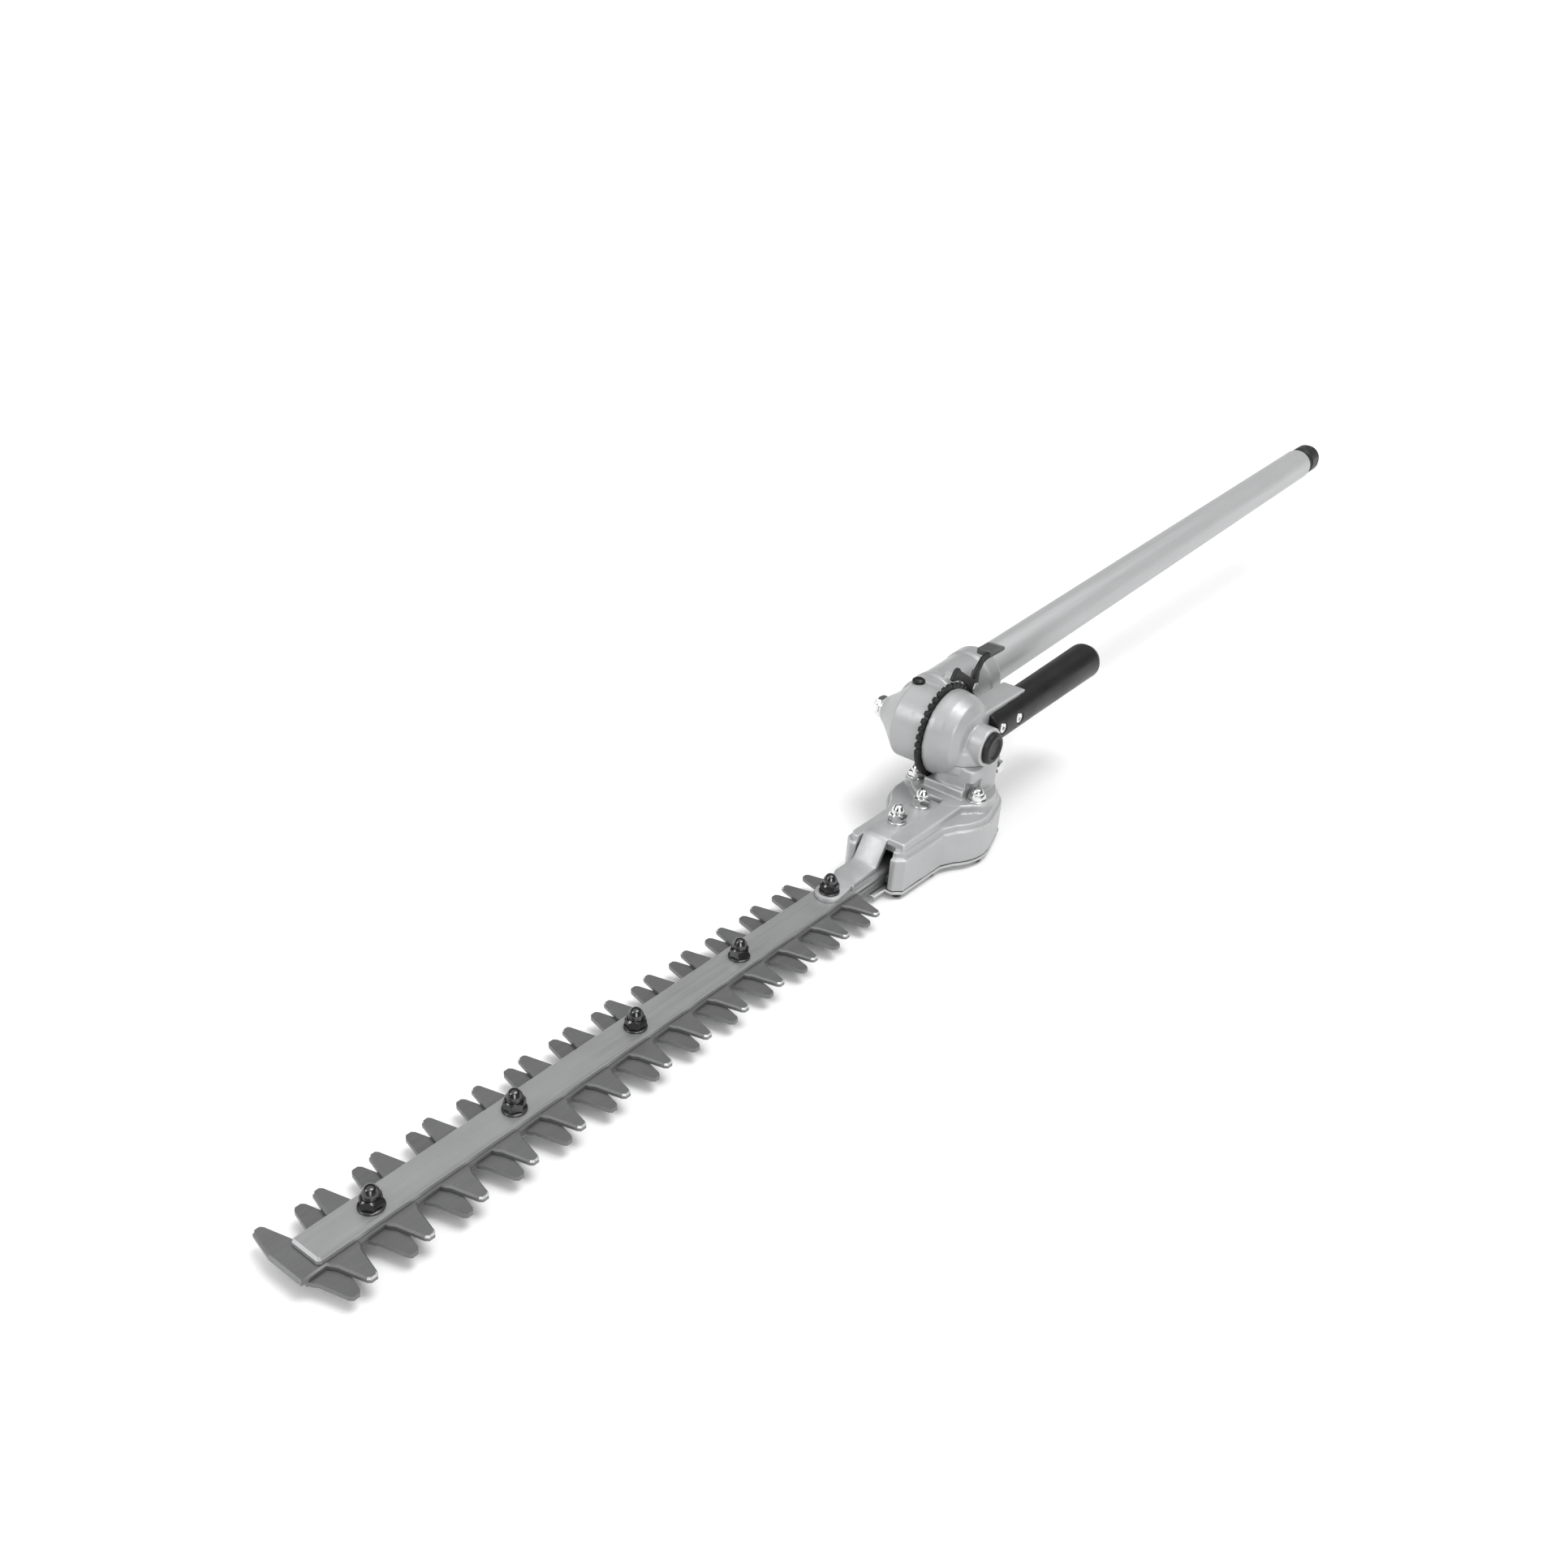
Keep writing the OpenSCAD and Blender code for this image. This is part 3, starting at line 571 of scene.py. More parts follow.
class Shape:
    """A mesh being shaped, in millimetres."""

    def __init__(self) -> None:
        """Starts empty."""
        self.mesh = bmesh.new()

    @classmethod
    def turned(cls, profile: Outline, steps: int = 64, ring: bool = False) -> "Shape":
        """Spins a profile once round Z.

        Args:
            profile: Points as radius and height.
            steps: Number of steps in the turn.
            ring: Whether the profile closes on itself, clear of the axis.

        Returns:
            The turned shape.
        """
        shape = cls()
        ends = [shape.mesh.verts.new((radius, 0.0, height)) for radius, height in profile]
        pairs = list(zip(ends, ends[1:])) + ([(ends[-1], ends[0])] if ring else [])
        lines = [shape.mesh.edges.new(pair) for pair in pairs]
        bmesh.ops.spin(shape.mesh, geom=ends + lines, cent=(0, 0, 0), axis=(0, 0, 1), dvec=(0, 0, 0),
                       angle=math.radians(360), steps=steps, use_merge=True)
        bmesh.ops.remove_doubles(shape.mesh, verts=shape.mesh.verts, dist=MERGE_MM)
        bmesh.ops.recalc_face_normals(shape.mesh, faces=shape.mesh.faces)
        return shape

    @classmethod
    def prism(cls, outline: Outline, low: float, high: float, soft: float = 0.0,
              steps: int = 2) -> "Shape":
        """Extrudes an outline along Z and softens both rims.

        Args:
            outline: Points in X and Y.
            low: Height of its lower face.
            high: Height of its upper face.
            soft: Width of the softened rims.
            steps: Steps in each softened rim.

        Returns:
            The extruded shape.
        """
        shape = cls()
        base = shape.mesh.faces.new([shape.mesh.verts.new((x, y, low)) for x, y in outline])
        top = bmesh.ops.extrude_face_region(shape.mesh, geom=[base])["geom"]
        lifted = [item for item in top if isinstance(item, bmesh.types.BMVert)]
        bmesh.ops.translate(shape.mesh, verts=lifted, vec=(0, 0, high - low))
        bmesh.ops.recalc_face_normals(shape.mesh, faces=shape.mesh.faces)
        if soft > 0:
            rims = [e for e in shape.mesh.edges if abs(e.verts[0].co.z - e.verts[1].co.z) < MERGE_MM]
            shape.soften(rims, soft, steps)
        return shape

    @classmethod
    def block(cls, low: Sequence[float], high: Sequence[float]) -> "Shape":
        """Makes a block between two corners.

        Args:
            low: Its lowest corner.
            high: Its highest corner.

        Returns:
            The block.
        """
        shape = cls()
        bmesh.ops.create_cube(shape.mesh, size=1.0)
        span = Vector(high) - Vector(low)
        bmesh.ops.scale(shape.mesh, verts=shape.mesh.verts, vec=span)
        bmesh.ops.translate(shape.mesh, verts=shape.mesh.verts, vec=(Vector(high) + Vector(low)) / 2)
        return shape

    @classmethod
    def of_node(cls, node: str, place: Matrix, flatten: bool = True) -> "Shape":
        """Copies a CAD node, merged, and joined into flat faces if asked.

        Args:
            node: The CAD node's name.
            place: The millimetre frame to bring it into.
            flatten: Whether triangles on one plane join into one face.

        Returns:
            The copy.
        """
        shape = cls()
        shape.mesh.from_mesh(frame["nodes"][node].data)
        shape.mesh.transform(place.inverted())
        bmesh.ops.remove_doubles(shape.mesh, verts=shape.mesh.verts, dist=MERGE_MM)
        if flatten:
            bmesh.ops.dissolve_limit(shape.mesh, angle_limit=math.radians(0.4), verts=shape.mesh.verts,
                                     edges=shape.mesh.edges, use_dissolve_boundaries=False)
        for face in shape.mesh.faces:
            face.material_index = 0
        return shape

    def soften(self, edges: list[bmesh.types.BMEdge], width: float, steps: int = 2) -> "Shape":
        """Bevels edges.

        Args:
            edges: The edges.
            width: Width of the bevel.
            steps: Number of steps in it.

        Returns:
            The shape itself.
        """
        bmesh.ops.bevel(self.mesh, geom=edges, offset=width, offset_type="OFFSET", affect="EDGES",
                        segments=steps, profile=0.5, material=-1, clamp_overlap=True)
        return self

    def sharp_edges(self, over_deg: float,
                    keep: Callable[[bmesh.types.BMEdge], bool]) -> list[bmesh.types.BMEdge]:
        """Lists the sharp edges that pass a test.

        Args:
            over_deg: The least turn of a sharp edge, in degrees.
            keep: The test.

        Returns:
            The edges.
        """
        limit = math.radians(over_deg)
        return [e for e in self.mesh.edges
                if len(e.link_faces) == 2 and e.calc_face_angle(0.0) > limit and keep(e)]

    def moved(self, matrix: Matrix) -> "Shape":
        """Moves the whole shape by a matrix and returns it."""
        self.mesh.transform(matrix)
        return self

    def join(self, other: "Shape") -> "Shape":
        """Adds another shape's mesh to this one.

        Args:
            other: The other shape.

        Returns:
            The shape itself.
        """
        spare = bpy.data.meshes.new("spare")
        other.mesh.to_mesh(spare)
        self.mesh.from_mesh(spare)
        bpy.data.meshes.remove(spare)
        return self

    def copies(self, places: Iterable[Matrix]) -> "Shape":
        """Repeats this shape at each place.

        Args:
            places: One matrix for each copy.

        Returns:
            The copies as one new shape.
        """
        many = Shape()
        for place in places:
            many.join(Shape().join(self).moved(place))
        return many

    def through(self, *modifiers: tuple[str, dict[str, object]]) -> "Shape":
        """Runs the mesh through modifiers and returns the shape with the result.

        Args:
            *modifiers: Each modifier's type and the settings it takes.

        Returns:
            The shape itself.
        """
        data = bpy.data.meshes.new("work")
        self.mesh.to_mesh(data)
        work = bpy.data.objects.new("work", data)
        bpy.context.scene.collection.objects.link(work)
        for kind, settings in modifiers:
            modifier = work.modifiers.new(kind.lower(), kind)
            for key, value in settings.items():
                setattr(modifier, key, value)
        done = bpy.data.meshes.new_from_object(work.evaluated_get(bpy.context.evaluated_depsgraph_get()))
        bpy.data.objects.remove(work)
        self.mesh.free()
        self.mesh = bmesh.new()
        self.mesh.from_mesh(done)
        bpy.data.meshes.remove(done)
        bpy.data.meshes.remove(data)
        return self

    def with_solid(self, other: "Shape", operation: str) -> "Shape":
        """Joins, cuts or intersects this closed shape with another by an exact boolean.

        Args:
            other: The other closed shape.
            operation: UNION, DIFFERENCE or INTERSECT.

        Returns:
            The shape itself.
        """
        data = bpy.data.meshes.new("tool")
        other.mesh.to_mesh(data)
        tool = bpy.data.objects.new("tool", data)
        bpy.context.scene.collection.objects.link(tool)
        self.through(("BOOLEAN", {"operation": operation, "object": tool, "solver": "EXACT"}))
        bpy.data.objects.remove(tool)
        bpy.data.meshes.remove(data)
        return self

    def cast(self, grain: float, relax: int) -> "Shape":
        """Melts overlapping solids into one skin with cast fillets.

        Args:
            grain: Size of the skin's squares.
            relax: Rounds of smoothing, which set the fillets.

        Returns:
            The shape itself.
        """
        return self.through(("REMESH", {"mode": "VOXEL", "voxel_size": grain, "adaptivity": 0.0}),
                            ("SMOOTH", {"factor": 0.5, "iterations": relax}))


def islands(node: str, place: Matrix) -> list[tuple[Vector, Vector]]:
    """Measures the separate solids of a CAD node.

    Args:
        node: The CAD node's name.
        place: The millimetre frame to measure in.

    Returns:
        Each solid's lowest and highest corner, in order along X, then Y.
    """
    shape = Shape.of_node(node, place, flatten=False)
    unseen = set(shape.mesh.verts)
    boxes = []
    while unseen:
        queue, seen = [unseen.pop()], []
        while queue:
            vert = queue.pop()
            seen.append(vert.co.copy())
            near = [e.other_vert(vert) for e in vert.link_edges if e.other_vert(vert) in unseen]
            unseen.difference_update(near)
            queue.extend(near)
        boxes.append((Vector(map(min, *seen)), Vector(map(max, *seen))))
    return sorted(boxes, key=lambda box: tuple(round(c) for c in box[0]))


@dataclass
class Piece:
    """One finished piece, the body it rides on and the CAD nodes it stands for."""

    name: str
    body: Body
    shape: Shape
    finish: Finish
    slot: str
    stands_for: tuple[str, ...] = ()
    place: Matrix = field(default_factory=lambda: HEAD_FRAME)
    crease_deg: float = 34.0
    second: Finish | None = None

    def publish(self) -> bpy.types.Object:
        """Makes the object, dresses it and ties it to its body.

        Returns:
            The new object.
        """
        self.shape.mesh.transform(self.place)
        data = bpy.data.meshes.new(self.name)
        self.shape.mesh.to_mesh(data)
        self.shape.mesh.free()
        data.polygons.foreach_set("use_smooth", [True] * len(data.polygons))
        data.set_sharp_from_angle(angle=math.radians(self.crease_deg))
        data.materials.append(self.finish.material())
        if self.second is not None:
            data.materials.append(self.second.material())
        made = bpy.data.objects.new(self.name, data)
        bpy.context.scene.collection.objects.link(made)
        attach(made, self.body.value)
        if self.stands_for:
            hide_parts(*self.stands_for)
        LOG.info("%s: %d faces on %s", self.name, len(data.polygons), self.body.value)
        return made


def dress(finish: Finish, *nodes: str) -> None:
    """Gives CAD nodes that are shown as they are a finish.

    Args:
        finish: The finish.
        *nodes: The nodes' names.
    """
    for node in nodes:
        target = frame["nodes"][node]
        if not target.material_slots:
            target.data.materials.append(None)
        for holder in target.material_slots:
            holder.material = finish.material()
        LOG.info("%s: packed shape in %s", node, finish.name)


# ------------------------------------------------------------------------------------ fasteners
def six_sides(across: float) -> Outline:
    """Returns a hexagon's outline from the width across its flats."""
    return arc((0, 0), across / math.sqrt(3), 0, 300, 5)


def hexagon(across: float, low: float, high: float, chamfer: float = 0.12) -> Shape:
    """Makes a hexagon with turned chamfers at both ends.

    Args:
        across: Width across its flats.
        low: Height of its lower face.
        high: Height of its upper face.
        chamfer: Depth of the chamfers as a share of the width.

    Returns:
        The hexagon.
    """
    corner = across / math.sqrt(3)
    body = Shape.prism(six_sides(across), low, high)
    cut = across * chamfer
    waste = corner - across / 2 + cut * 0.25
    turned = Shape.turned([(0, low), (corner - waste, low), (corner, low + cut), (corner, high - cut),
                           (corner - waste, high), (0, high)], 48)
    return body.with_solid(turned, "INTERSECT")


def domed_nut(across: float, height: float) -> Shape:
    """Makes a domed nut on its washer face, standing on Z = 0.

    Args:
        across: Width across the flats.
        height: Whole height.

    Returns:
        The nut as one closed solid.
    """
    shoulder = height * 0.54
    nut = hexagon(across, 0.6, shoulder)
    flange = Shape.turned(rounded([(0, 0, 0), (across * 0.63, 0, 0.3), (across * 0.63, 1.1, 0.5),
                                   (across * 0.5, 1.35, 0), (0, 1.35, 0)], closed=False), 40)
    dome = Shape.turned(rounded([(0, 0.8, 0), (across * 0.41, 0.8, 0), (across * 0.43, shoulder, 0.4),
                                 (across * 0.41, height * 0.72, 3.2), (across * 0.24, height * 0.96, 3.0),
                                 (0, height, 0)], closed=False, steps=6), 40)
    return nut.with_solid(flange, "UNION").with_solid(dome, "UNION")


def socket_cap(radius: float, height: float, socket: float) -> Shape:
    """Makes a round screw head with a hexagon socket, its seat on Z = 0.

    Args:
        radius: The head's radius.
        height: The head's height.
        socket: Width of the socket across its flats.

    Returns:
        The head.
    """
    head = Shape.turned(rounded([(0, 0, 0), (radius, 0, 0.15), (radius, height, radius * 0.22),
                                 (0, height, 0)], closed=False), 40)
    key = Shape.prism(six_sides(socket), height * 0.35, height + 1)
    return head.with_solid(key, "DIFFERENCE")


def pan_head(radius: float, height: float, slot: float) -> Shape:
    """Makes a domed screw head with one slot, its seat on Z = 0.

    Args:
        radius: The head's radius.
        height: The head's height.
        slot: Width of the slot.

    Returns:
        The head.
    """
    head = Shape.turned(rounded([(0, 0, 0), (radius, 0, 0.1), (radius, height * 0.55, 0.5),
                                 (radius * 0.6, height * 0.95, 1.5), (0, height, 0)], closed=False), 40)
    cut = Shape.block((-slot / 2, -radius - 1, height * 0.55), (slot / 2, radius + 1, height + 1))
    return head.with_solid(cut, "DIFFERENCE")


def rod(radius: float, low: float, high: float, soft: float = 0.4) -> Shape:
    """Makes a round rod along Z with chamfered ends."""
    return Shape.turned([(0, low), (radius - soft, low), (radius, low + soft), (radius, high - soft),
                         (radius - soft, high), (0, high)], 32)


def stamp(node: str, template: Shape, axis: Axis, place: Matrix, turn_step: float = 23.0) -> Shape:
    """Repeats a template on the seat of every solid in a CAD node.

    Args:
        node: The CAD node that holds the fasteners.
        template: The fastener, standing on Z = 0.
        axis: Which way it stands.
        place: The millimetre frame of the node.
        turn_step: How much further each one is turned, in degrees.

    Returns:
        All of them as one shape.
    """
    spots = []
    for i, (low, high) in enumerate(islands(node, place)):
        seat = (low + high) / 2
        along = axis.value.to_3x3() @ Vector((0, 0, 1))
        for k in range(3):
            if abs(along[k]) > 0.5:
                seat[k] = low[k] if along[k] > 0 else high[k]
        spots.append(placed(axis, seat, i * turn_step))
    return template.copies(spots)


# ------------------------------------------------------------------------------------ sub-assemblies
@dataclass
class Pole:
    """The pole tube, its plug and the drive inside it."""

    radius: float = 14.0
    wall: float = 1.5
    start: float = 40.0
    land: float = 86.0
    seat_r: float = 13.4
    end: float = 670.0
    plug_r: float = 13.0
    plug_reach: float = 28.4

    def tube(self) -> Piece:
        """Spins the tube wall, with both ends deburred.

        Returns:
            The tube.
        """
        inner = self.radius - self.wall
        wall = Shape.turned(rounded([(self.seat_r, self.start, 0.3), (self.seat_r, self.land, 0),
                                     (self.radius, self.land, 0.25), (self.radius, self.end, 0.5),
                                     (inner, self.end, 0.4), (inner, self.start, 0.3)]), 96, ring=True)
        return Piece("tube_wall", Body.POLE, wall.moved(Axis.X.value), TUBE, "pole_tube",
                     ("pole_tube",), POLE_FRAME)

    def plug(self) -> Piece:
        """Turns the plug, flattens four sides of its head and cuts a finger groove round it.

        Returns:
            The plug.
        """
        base, tip = self.end + 0.4, self.end + self.plug_reach
        stem = self.radius - self.wall - 0.05
        head = Shape.turned(rounded([(0, base, 0), (self.plug_r, base, 0.5), (self.plug_r, base + 4, 0.6),
                                     (self.plug_r - 1, base + 5.2, 0.8), (self.plug_r - 1, base + 8, 0.8),
                                     (self.plug_r, base + 9.4, 0.8), (self.plug_r, tip, 4.5),
                                     (self.plug_r * 0.4, tip, 2.5), (self.plug_r * 0.3, tip - 1, 1.2),
                                     (0, tip - 1, 0)], closed=False, steps=6), 72)
        size = self.plug_r * 0.93
        square = rounded([(-size, -size, 8), (size, -size, 8), (size, size, 8), (-size, size, 8)], steps=8)
        flats = Shape.prism(square, base + 10.5, tip + 1).with_solid(Shape.prism(
            arc((0, 0), self.plug_r + 2, 0, 355, 71), base - 1, base + 10.6), "UNION")
        head.with_solid(flats, "INTERSECT")
        head.with_solid(Shape.turned([(0, self.end - 20), (stem - 1, self.end - 20), (stem, self.end - 19),
                                      (stem, base + 1), (0, base + 1)], 48), "UNION")
        return Piece("end_plug", Body.POLE, head.moved(Axis.X.value), PLUG_RUBBER, "pole_plug",
                     ("pole_plug",), POLE_FRAME)

    def build(self) -> list[Piece]:
        """Returns the pole's new pieces."""
        return [self.tube(), self.plug()]

    def dress(self) -> None:
        """Dresses the parts inside the pole."""
        dress(BUSH_PLASTIC, "shaft_bushes")
        dress(SHAFT_STEEL, "drive_shaft")
        dress(GEAR_STEEL, "input_bevel", "input_bearings")


@dataclass
class UpperCase:
    """The pole-side gear case with its fasteners."""

    grain: float = 0.7
    relax: int = 3
    socket_r: float = 19.5
    ring_x: tuple[float, float, float, float] = (26.0, 28.0, 33.0, 35.0)
    ring_rise: float = 0.75
    ring_sunk: float = 1.5
    clamp_x: tuple[float, float] = (64.0, 74.0)
    clamp_z: float = -23.4
    boss_y: float = 17.5
    grease: tuple[float, float] = (2.0, -3.5)

    def casting(self) -> Piece:
        """Casts the case skin with the raised ring round its socket.

        Returns:
            The upper case.
        """
        case = Shape.of_node("upper_case", POLE_FRAME, flatten=False)
        inner, outer = self.socket_r - self.ring_sunk, self.socket_r + self.ring_rise
        profile = list(zip((inner, outer, outer, inner), self.ring_x))
        case.join(Shape.turned(profile, 72, ring=True).moved(Axis.X.value))
        return Piece("upper_case_skin", Body.POLE, case.cast(self.grain, self.relax), CASE_PAINT,
                     "upper_case", ("upper_case",), POLE_FRAME, SKIN_CREASE_DEG)

    def end_bolt(self) -> Piece:
        """Makes the bright bolt at the end of the cross shaft.

        Returns:
            The bolt.
        """
        seat = self.boss_y
        bolt = hexagon(13.0, seat + 1.5, seat + 7.0)
        crown = Shape.turned(rounded([(0, seat + 5, 0), (5.4, seat + 5, 0), (5.4, seat + 7.6, 0.6),
                                      (3.4, seat + 9.6, 1.6), (0, seat + 10, 0)],
                                     closed=False, steps=5), 40)
        shank = rod(4.06, seat - 5, seat + 2)
        bolt.with_solid(crown, "UNION").with_solid(shank, "UNION")
        return Piece("cross_end_bolt", Body.POLE, bolt.moved(Axis.Y.value), NICKEL, "bright_nuts",
                     ("case_end_bolt",), POLE_FRAME)

    def washer(self) -> Piece:
        """Turns the washer under the end bolt.

        Returns:
            The washer.
        """
        seat, face = self.boss_y, self.boss_y + 1.5
        ring = Shape.turned(rounded([(8, seat, 0.3), (8, face, 0.5), (4.1, face, 0.3), (4.1, seat, 0.2)]),
                            56, ring=True)
        return Piece("end_bolt_washer", Body.POLE, ring.moved(Axis.Y.value), ZINC, "zinc_fasteners",
                     ("case_end_washer",), POLE_FRAME)

    def screws(self) -> list[Piece]:
        """Makes the grease screw on top and the clamp screws under the socket.

        Returns:
            The grease screw, and both clamp screws as one piece.
        """
        grease = pan_head(4.3, 3.0, 1.2).moved(placed(Axis.Z, (*self.grease, 26), 20))
        grease.join(rod(2.45, 18, 26.2).moved(placed(Axis.Z, (*self.grease, 0))))
        clamp = socket_cap(3.45, 3.9, 3.0)
        spots = [placed(Axis.MINUS_Y, (x, -7.1, self.clamp_z), x) for x in self.clamp_x]
        clamps = clamp.copies(spots)
        clamps.join(rod(1.98, -13.7, 0.2).copies(spots))
        return [Piece("filler_screw", Body.POLE, grease, BLACK_OXIDE, "black_screws",
                      ("grease_screw",), POLE_FRAME),
                Piece("clamp_screws", Body.POLE, clamps, BLACK_OXIDE, "black_screws",
                      ("socket_screws",), POLE_FRAME)]

    def build(self) -> list[Piece]:
        """Returns the case's new pieces."""
        return [self.casting(), self.end_bolt(), self.washer(), *self.screws()]

    def dress(self) -> None:
        """Dresses the bearing and the shaft across the joint."""
        dress(GEAR_STEEL, "cross_bearing_upper", "cross_bevel_upper", "cross_bevel_lower")
        dress(SHAFT_STEEL, "cross_shaft")


@dataclass
class TiltLock:
    """The click plate, its lever, pin and spring."""

    pivot: tuple[float, float] = (33.0, 19.5)
    wire_r: float = 0.45
    coil_r: float = 4.15
    coils: float = 4.5
    leg: float = 9.2
    ribs: int = 5
    rib_x: float = 50.0
    rib_z: float = 40.25
    rib_pitch: float = 2.1

    def plate(self) -> list[Piece]:
        """Softens the click plate's edges and makes its screws.

        Returns:
            The click plate and its screws.
        """
        plate = Shape.of_node("click_plate", HEAD_FRAME)
        plate.soften(plate.sharp_edges(25, lambda e: (e.verts[0].co.xz - e.verts[1].co.xz).length > 0.1
                                       and e.verts[0].co.xz.length > 25), 0.3, 2)
        head = socket_cap(3.45, 1.35, 2.2)
        screws = stamp("click_screws", head, Axis.Y, HEAD_FRAME)
        return [Piece("click_sector", Body.HEAD, plate, BLACK_PAINT, "click_plate", ("click_plate",)),
                Piece("sector_screws", Body.HEAD, screws.moved(Matrix.Translation((0, 9.05, 0))),
                      BLACK_OXIDE, "black_screws", ("click_screws",))]

    def across(self, prism: Shape) -> None:
        """Lays a prism across the lever, its height along Y and its outline in X and Z."""
        prism.moved(Matrix.Rotation(math.radians(90), 4, "X") @ Matrix.Scale(-1, 4, (0, 0, 1)))
        bmesh.ops.recalc_face_normals(prism.mesh, faces=prism.mesh.faces)

    def lever(self) -> list[Piece]:
        """Softens the lever plate and moulds the ribbed thumb pad.

        Returns:
            The lever plate and its pad.
        """
        lever = Shape.of_node("lock_lever", HEAD_FRAME)
        rims = lever.sharp_edges(40, lambda e: abs(e.verts[0].co.y - e.verts[1].co.y) < LEVEL_MM)
        lever.soften(rims, 0.35, 2)
        pad = Shape.prism(rounded([(47.2, 36.1, 1.2), (66.6, 36.1, 1.0), (66.6, 38.8, 1.2),
                                   (60.5, 40.6, 2.0), (47.2, 40.6, 1.2)]), 13.9, 24.7, 0.9, 3)
        self.across(pad)
        rib = Shape.prism(rounded([(-0.55, 0, 0.2), (0.55, 0, 0.2), (0.3, 0.75, 0.3), (-0.3, 0.75, 0.3)]),
                          15.2, 23.4, 0.2, 1)
        self.across(rib)
        for i in range(self.ribs):
            spot = Matrix.Translation((self.rib_x + self.rib_pitch * i, 0, self.rib_z))
            pad.with_solid(Shape().join(rib).moved(spot), "UNION")
        return [Piece("lock_lever_plate", Body.LEVER, lever, BLACK_PAINT, "lock_lever", ("lock_lever",)),
                Piece("thumb_pad", Body.LEVER, pad, PAD_PLASTIC, "lever_pad", ("lever_pad",))]

    def spring(self) -> Piece:
        """Winds the return spring and its two legs.

        Returns:
            The spring.
        """
        x, z = self.pivot
        pitch = 2.3 * self.wire_r
        coil = Shape()
        ring = bmesh.ops.create_circle(coil.mesh, cap_ends=True, radius=self.wire_r, segments=10)
        bmesh.ops.rotate(coil.mesh, verts=ring["verts"], cent=(0, 0, 0),
                         matrix=Matrix.Rotation(math.radians(90), 3, "X"))
        bmesh.ops.translate(coil.mesh, verts=ring["verts"], vec=(self.coil_r, 0, self.wire_r))
        steps = int(self.coils * 24)
        bmesh.ops.spin(coil.mesh, geom=coil.mesh.faces[:], cent=(0, 0, 0), axis=(0, 0, 1),
                       dvec=(0, 0, pitch / 24), angle=math.radians(360 * self.coils), steps=steps,
                       use_duplicate=False)
        bmesh.ops.recalc_face_normals(coil.mesh, faces=coil.mesh.faces)
        coil.moved(placed(Axis.Y, (x, 17.5, z), 0))
        coil.join(rod(self.wire_r, 0, self.leg, 0.15).moved(
            Matrix.Translation((x + 4.1, 21.4, z)) @ Matrix.Rotation(math.radians(18), 4, "Y")))
        coil.join(rod(self.wire_r, 0, self.leg, 0.15).moved(
            Matrix.Translation((x, 18.3, z - 4.1)) @ Matrix.Rotation(math.radians(90), 4, "Y")))
        return Piece("return_spring", Body.POLE, coil, SPRING_STEEL, "lever_spring", ("lever_spring",))

    def pin(self) -> Piece:
        """Turns the lever's pin with its domed head.

        Returns:
            The pin.
        """
        pin = Shape.turned(rounded([(0, 13.4, 0), (2.9, 13.4, 0.6), (3.6, 13.9, 0.3), (3.6, 14.3, 0.1),
                                    (2.5, 14.3, 0), (2.5, 35.2, 0.3), (0, 35.2, 0)], closed=False), 40)
        x, z = self.pivot
        return Piece("pivot_pin", Body.POLE, pin.moved(placed(Axis.Y, (x, 0, z))), ZINC,
                     "zinc_fasteners", ("lever_pin",))

    def build(self) -> list[Piece]:
        """Returns the lock's new pieces."""
        return [*self.plate(), *self.lever(), self.spring(), self.pin()]

    def dress(self) -> None:
        """Dresses the snap ring."""
        dress(SPRING_STEEL, "pivot_ring")


@dataclass
class LowerCase:
    """The round head casting with its side plug and grip."""

    grain: float = 0.7
    relax: int = 3

    def casting(self) -> Piece:
        """Casts the round case with its neck and grip arm.

        Returns:
            The lower case.
        """
        case = Shape.of_node("lower_case", HEAD_FRAME, flatten=False)
        return Piece("lower_case_skin", Body.HEAD, case.cast(self.grain, self.relax), CASE_PAINT,
                     "lower_case", ("lower_case",), crease_deg=SKIN_CREASE_DEG)

    def side_plug(self) -> Piece:
        """Turns the black plug with its finger rim.

        Returns:
            The plug.
        """
        start = (HEAD_FRAME.inverted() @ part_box("side_plug")[0]).y
        plug = Shape.turned(rounded([(0, 1.2, 0), (6.2, 1.2, 0.6), (7.0, 0, 0.5), (9.0, 0, 0.5),
                                     (10.55, 1.4, 0.6), (10.55, 3.7, 0.2), (10, 3.7, 0), (10, 4.5, 0.2),
                                     (0, 4.5, 0)], closed=False), 64)
        return Piece("bearing_plug", Body.HEAD, plug.moved(placed(Axis.Y, (0, start, 0))), PLUG_RUBBER,
                     "side_plug", ("side_plug",))

    def build(self) -> list[Piece]:
        """Returns the head's new pieces."""
        return [self.casting(), self.side_plug()]

    def dress(self) -> None:
        """Dresses the bearings and the upright drive."""
        dress(GEAR_STEEL, "cross_bearing_lower", "upright_bearings", "upright_bevel", "pinion")
        dress(SHAFT_STEEL, "upright_shaft")


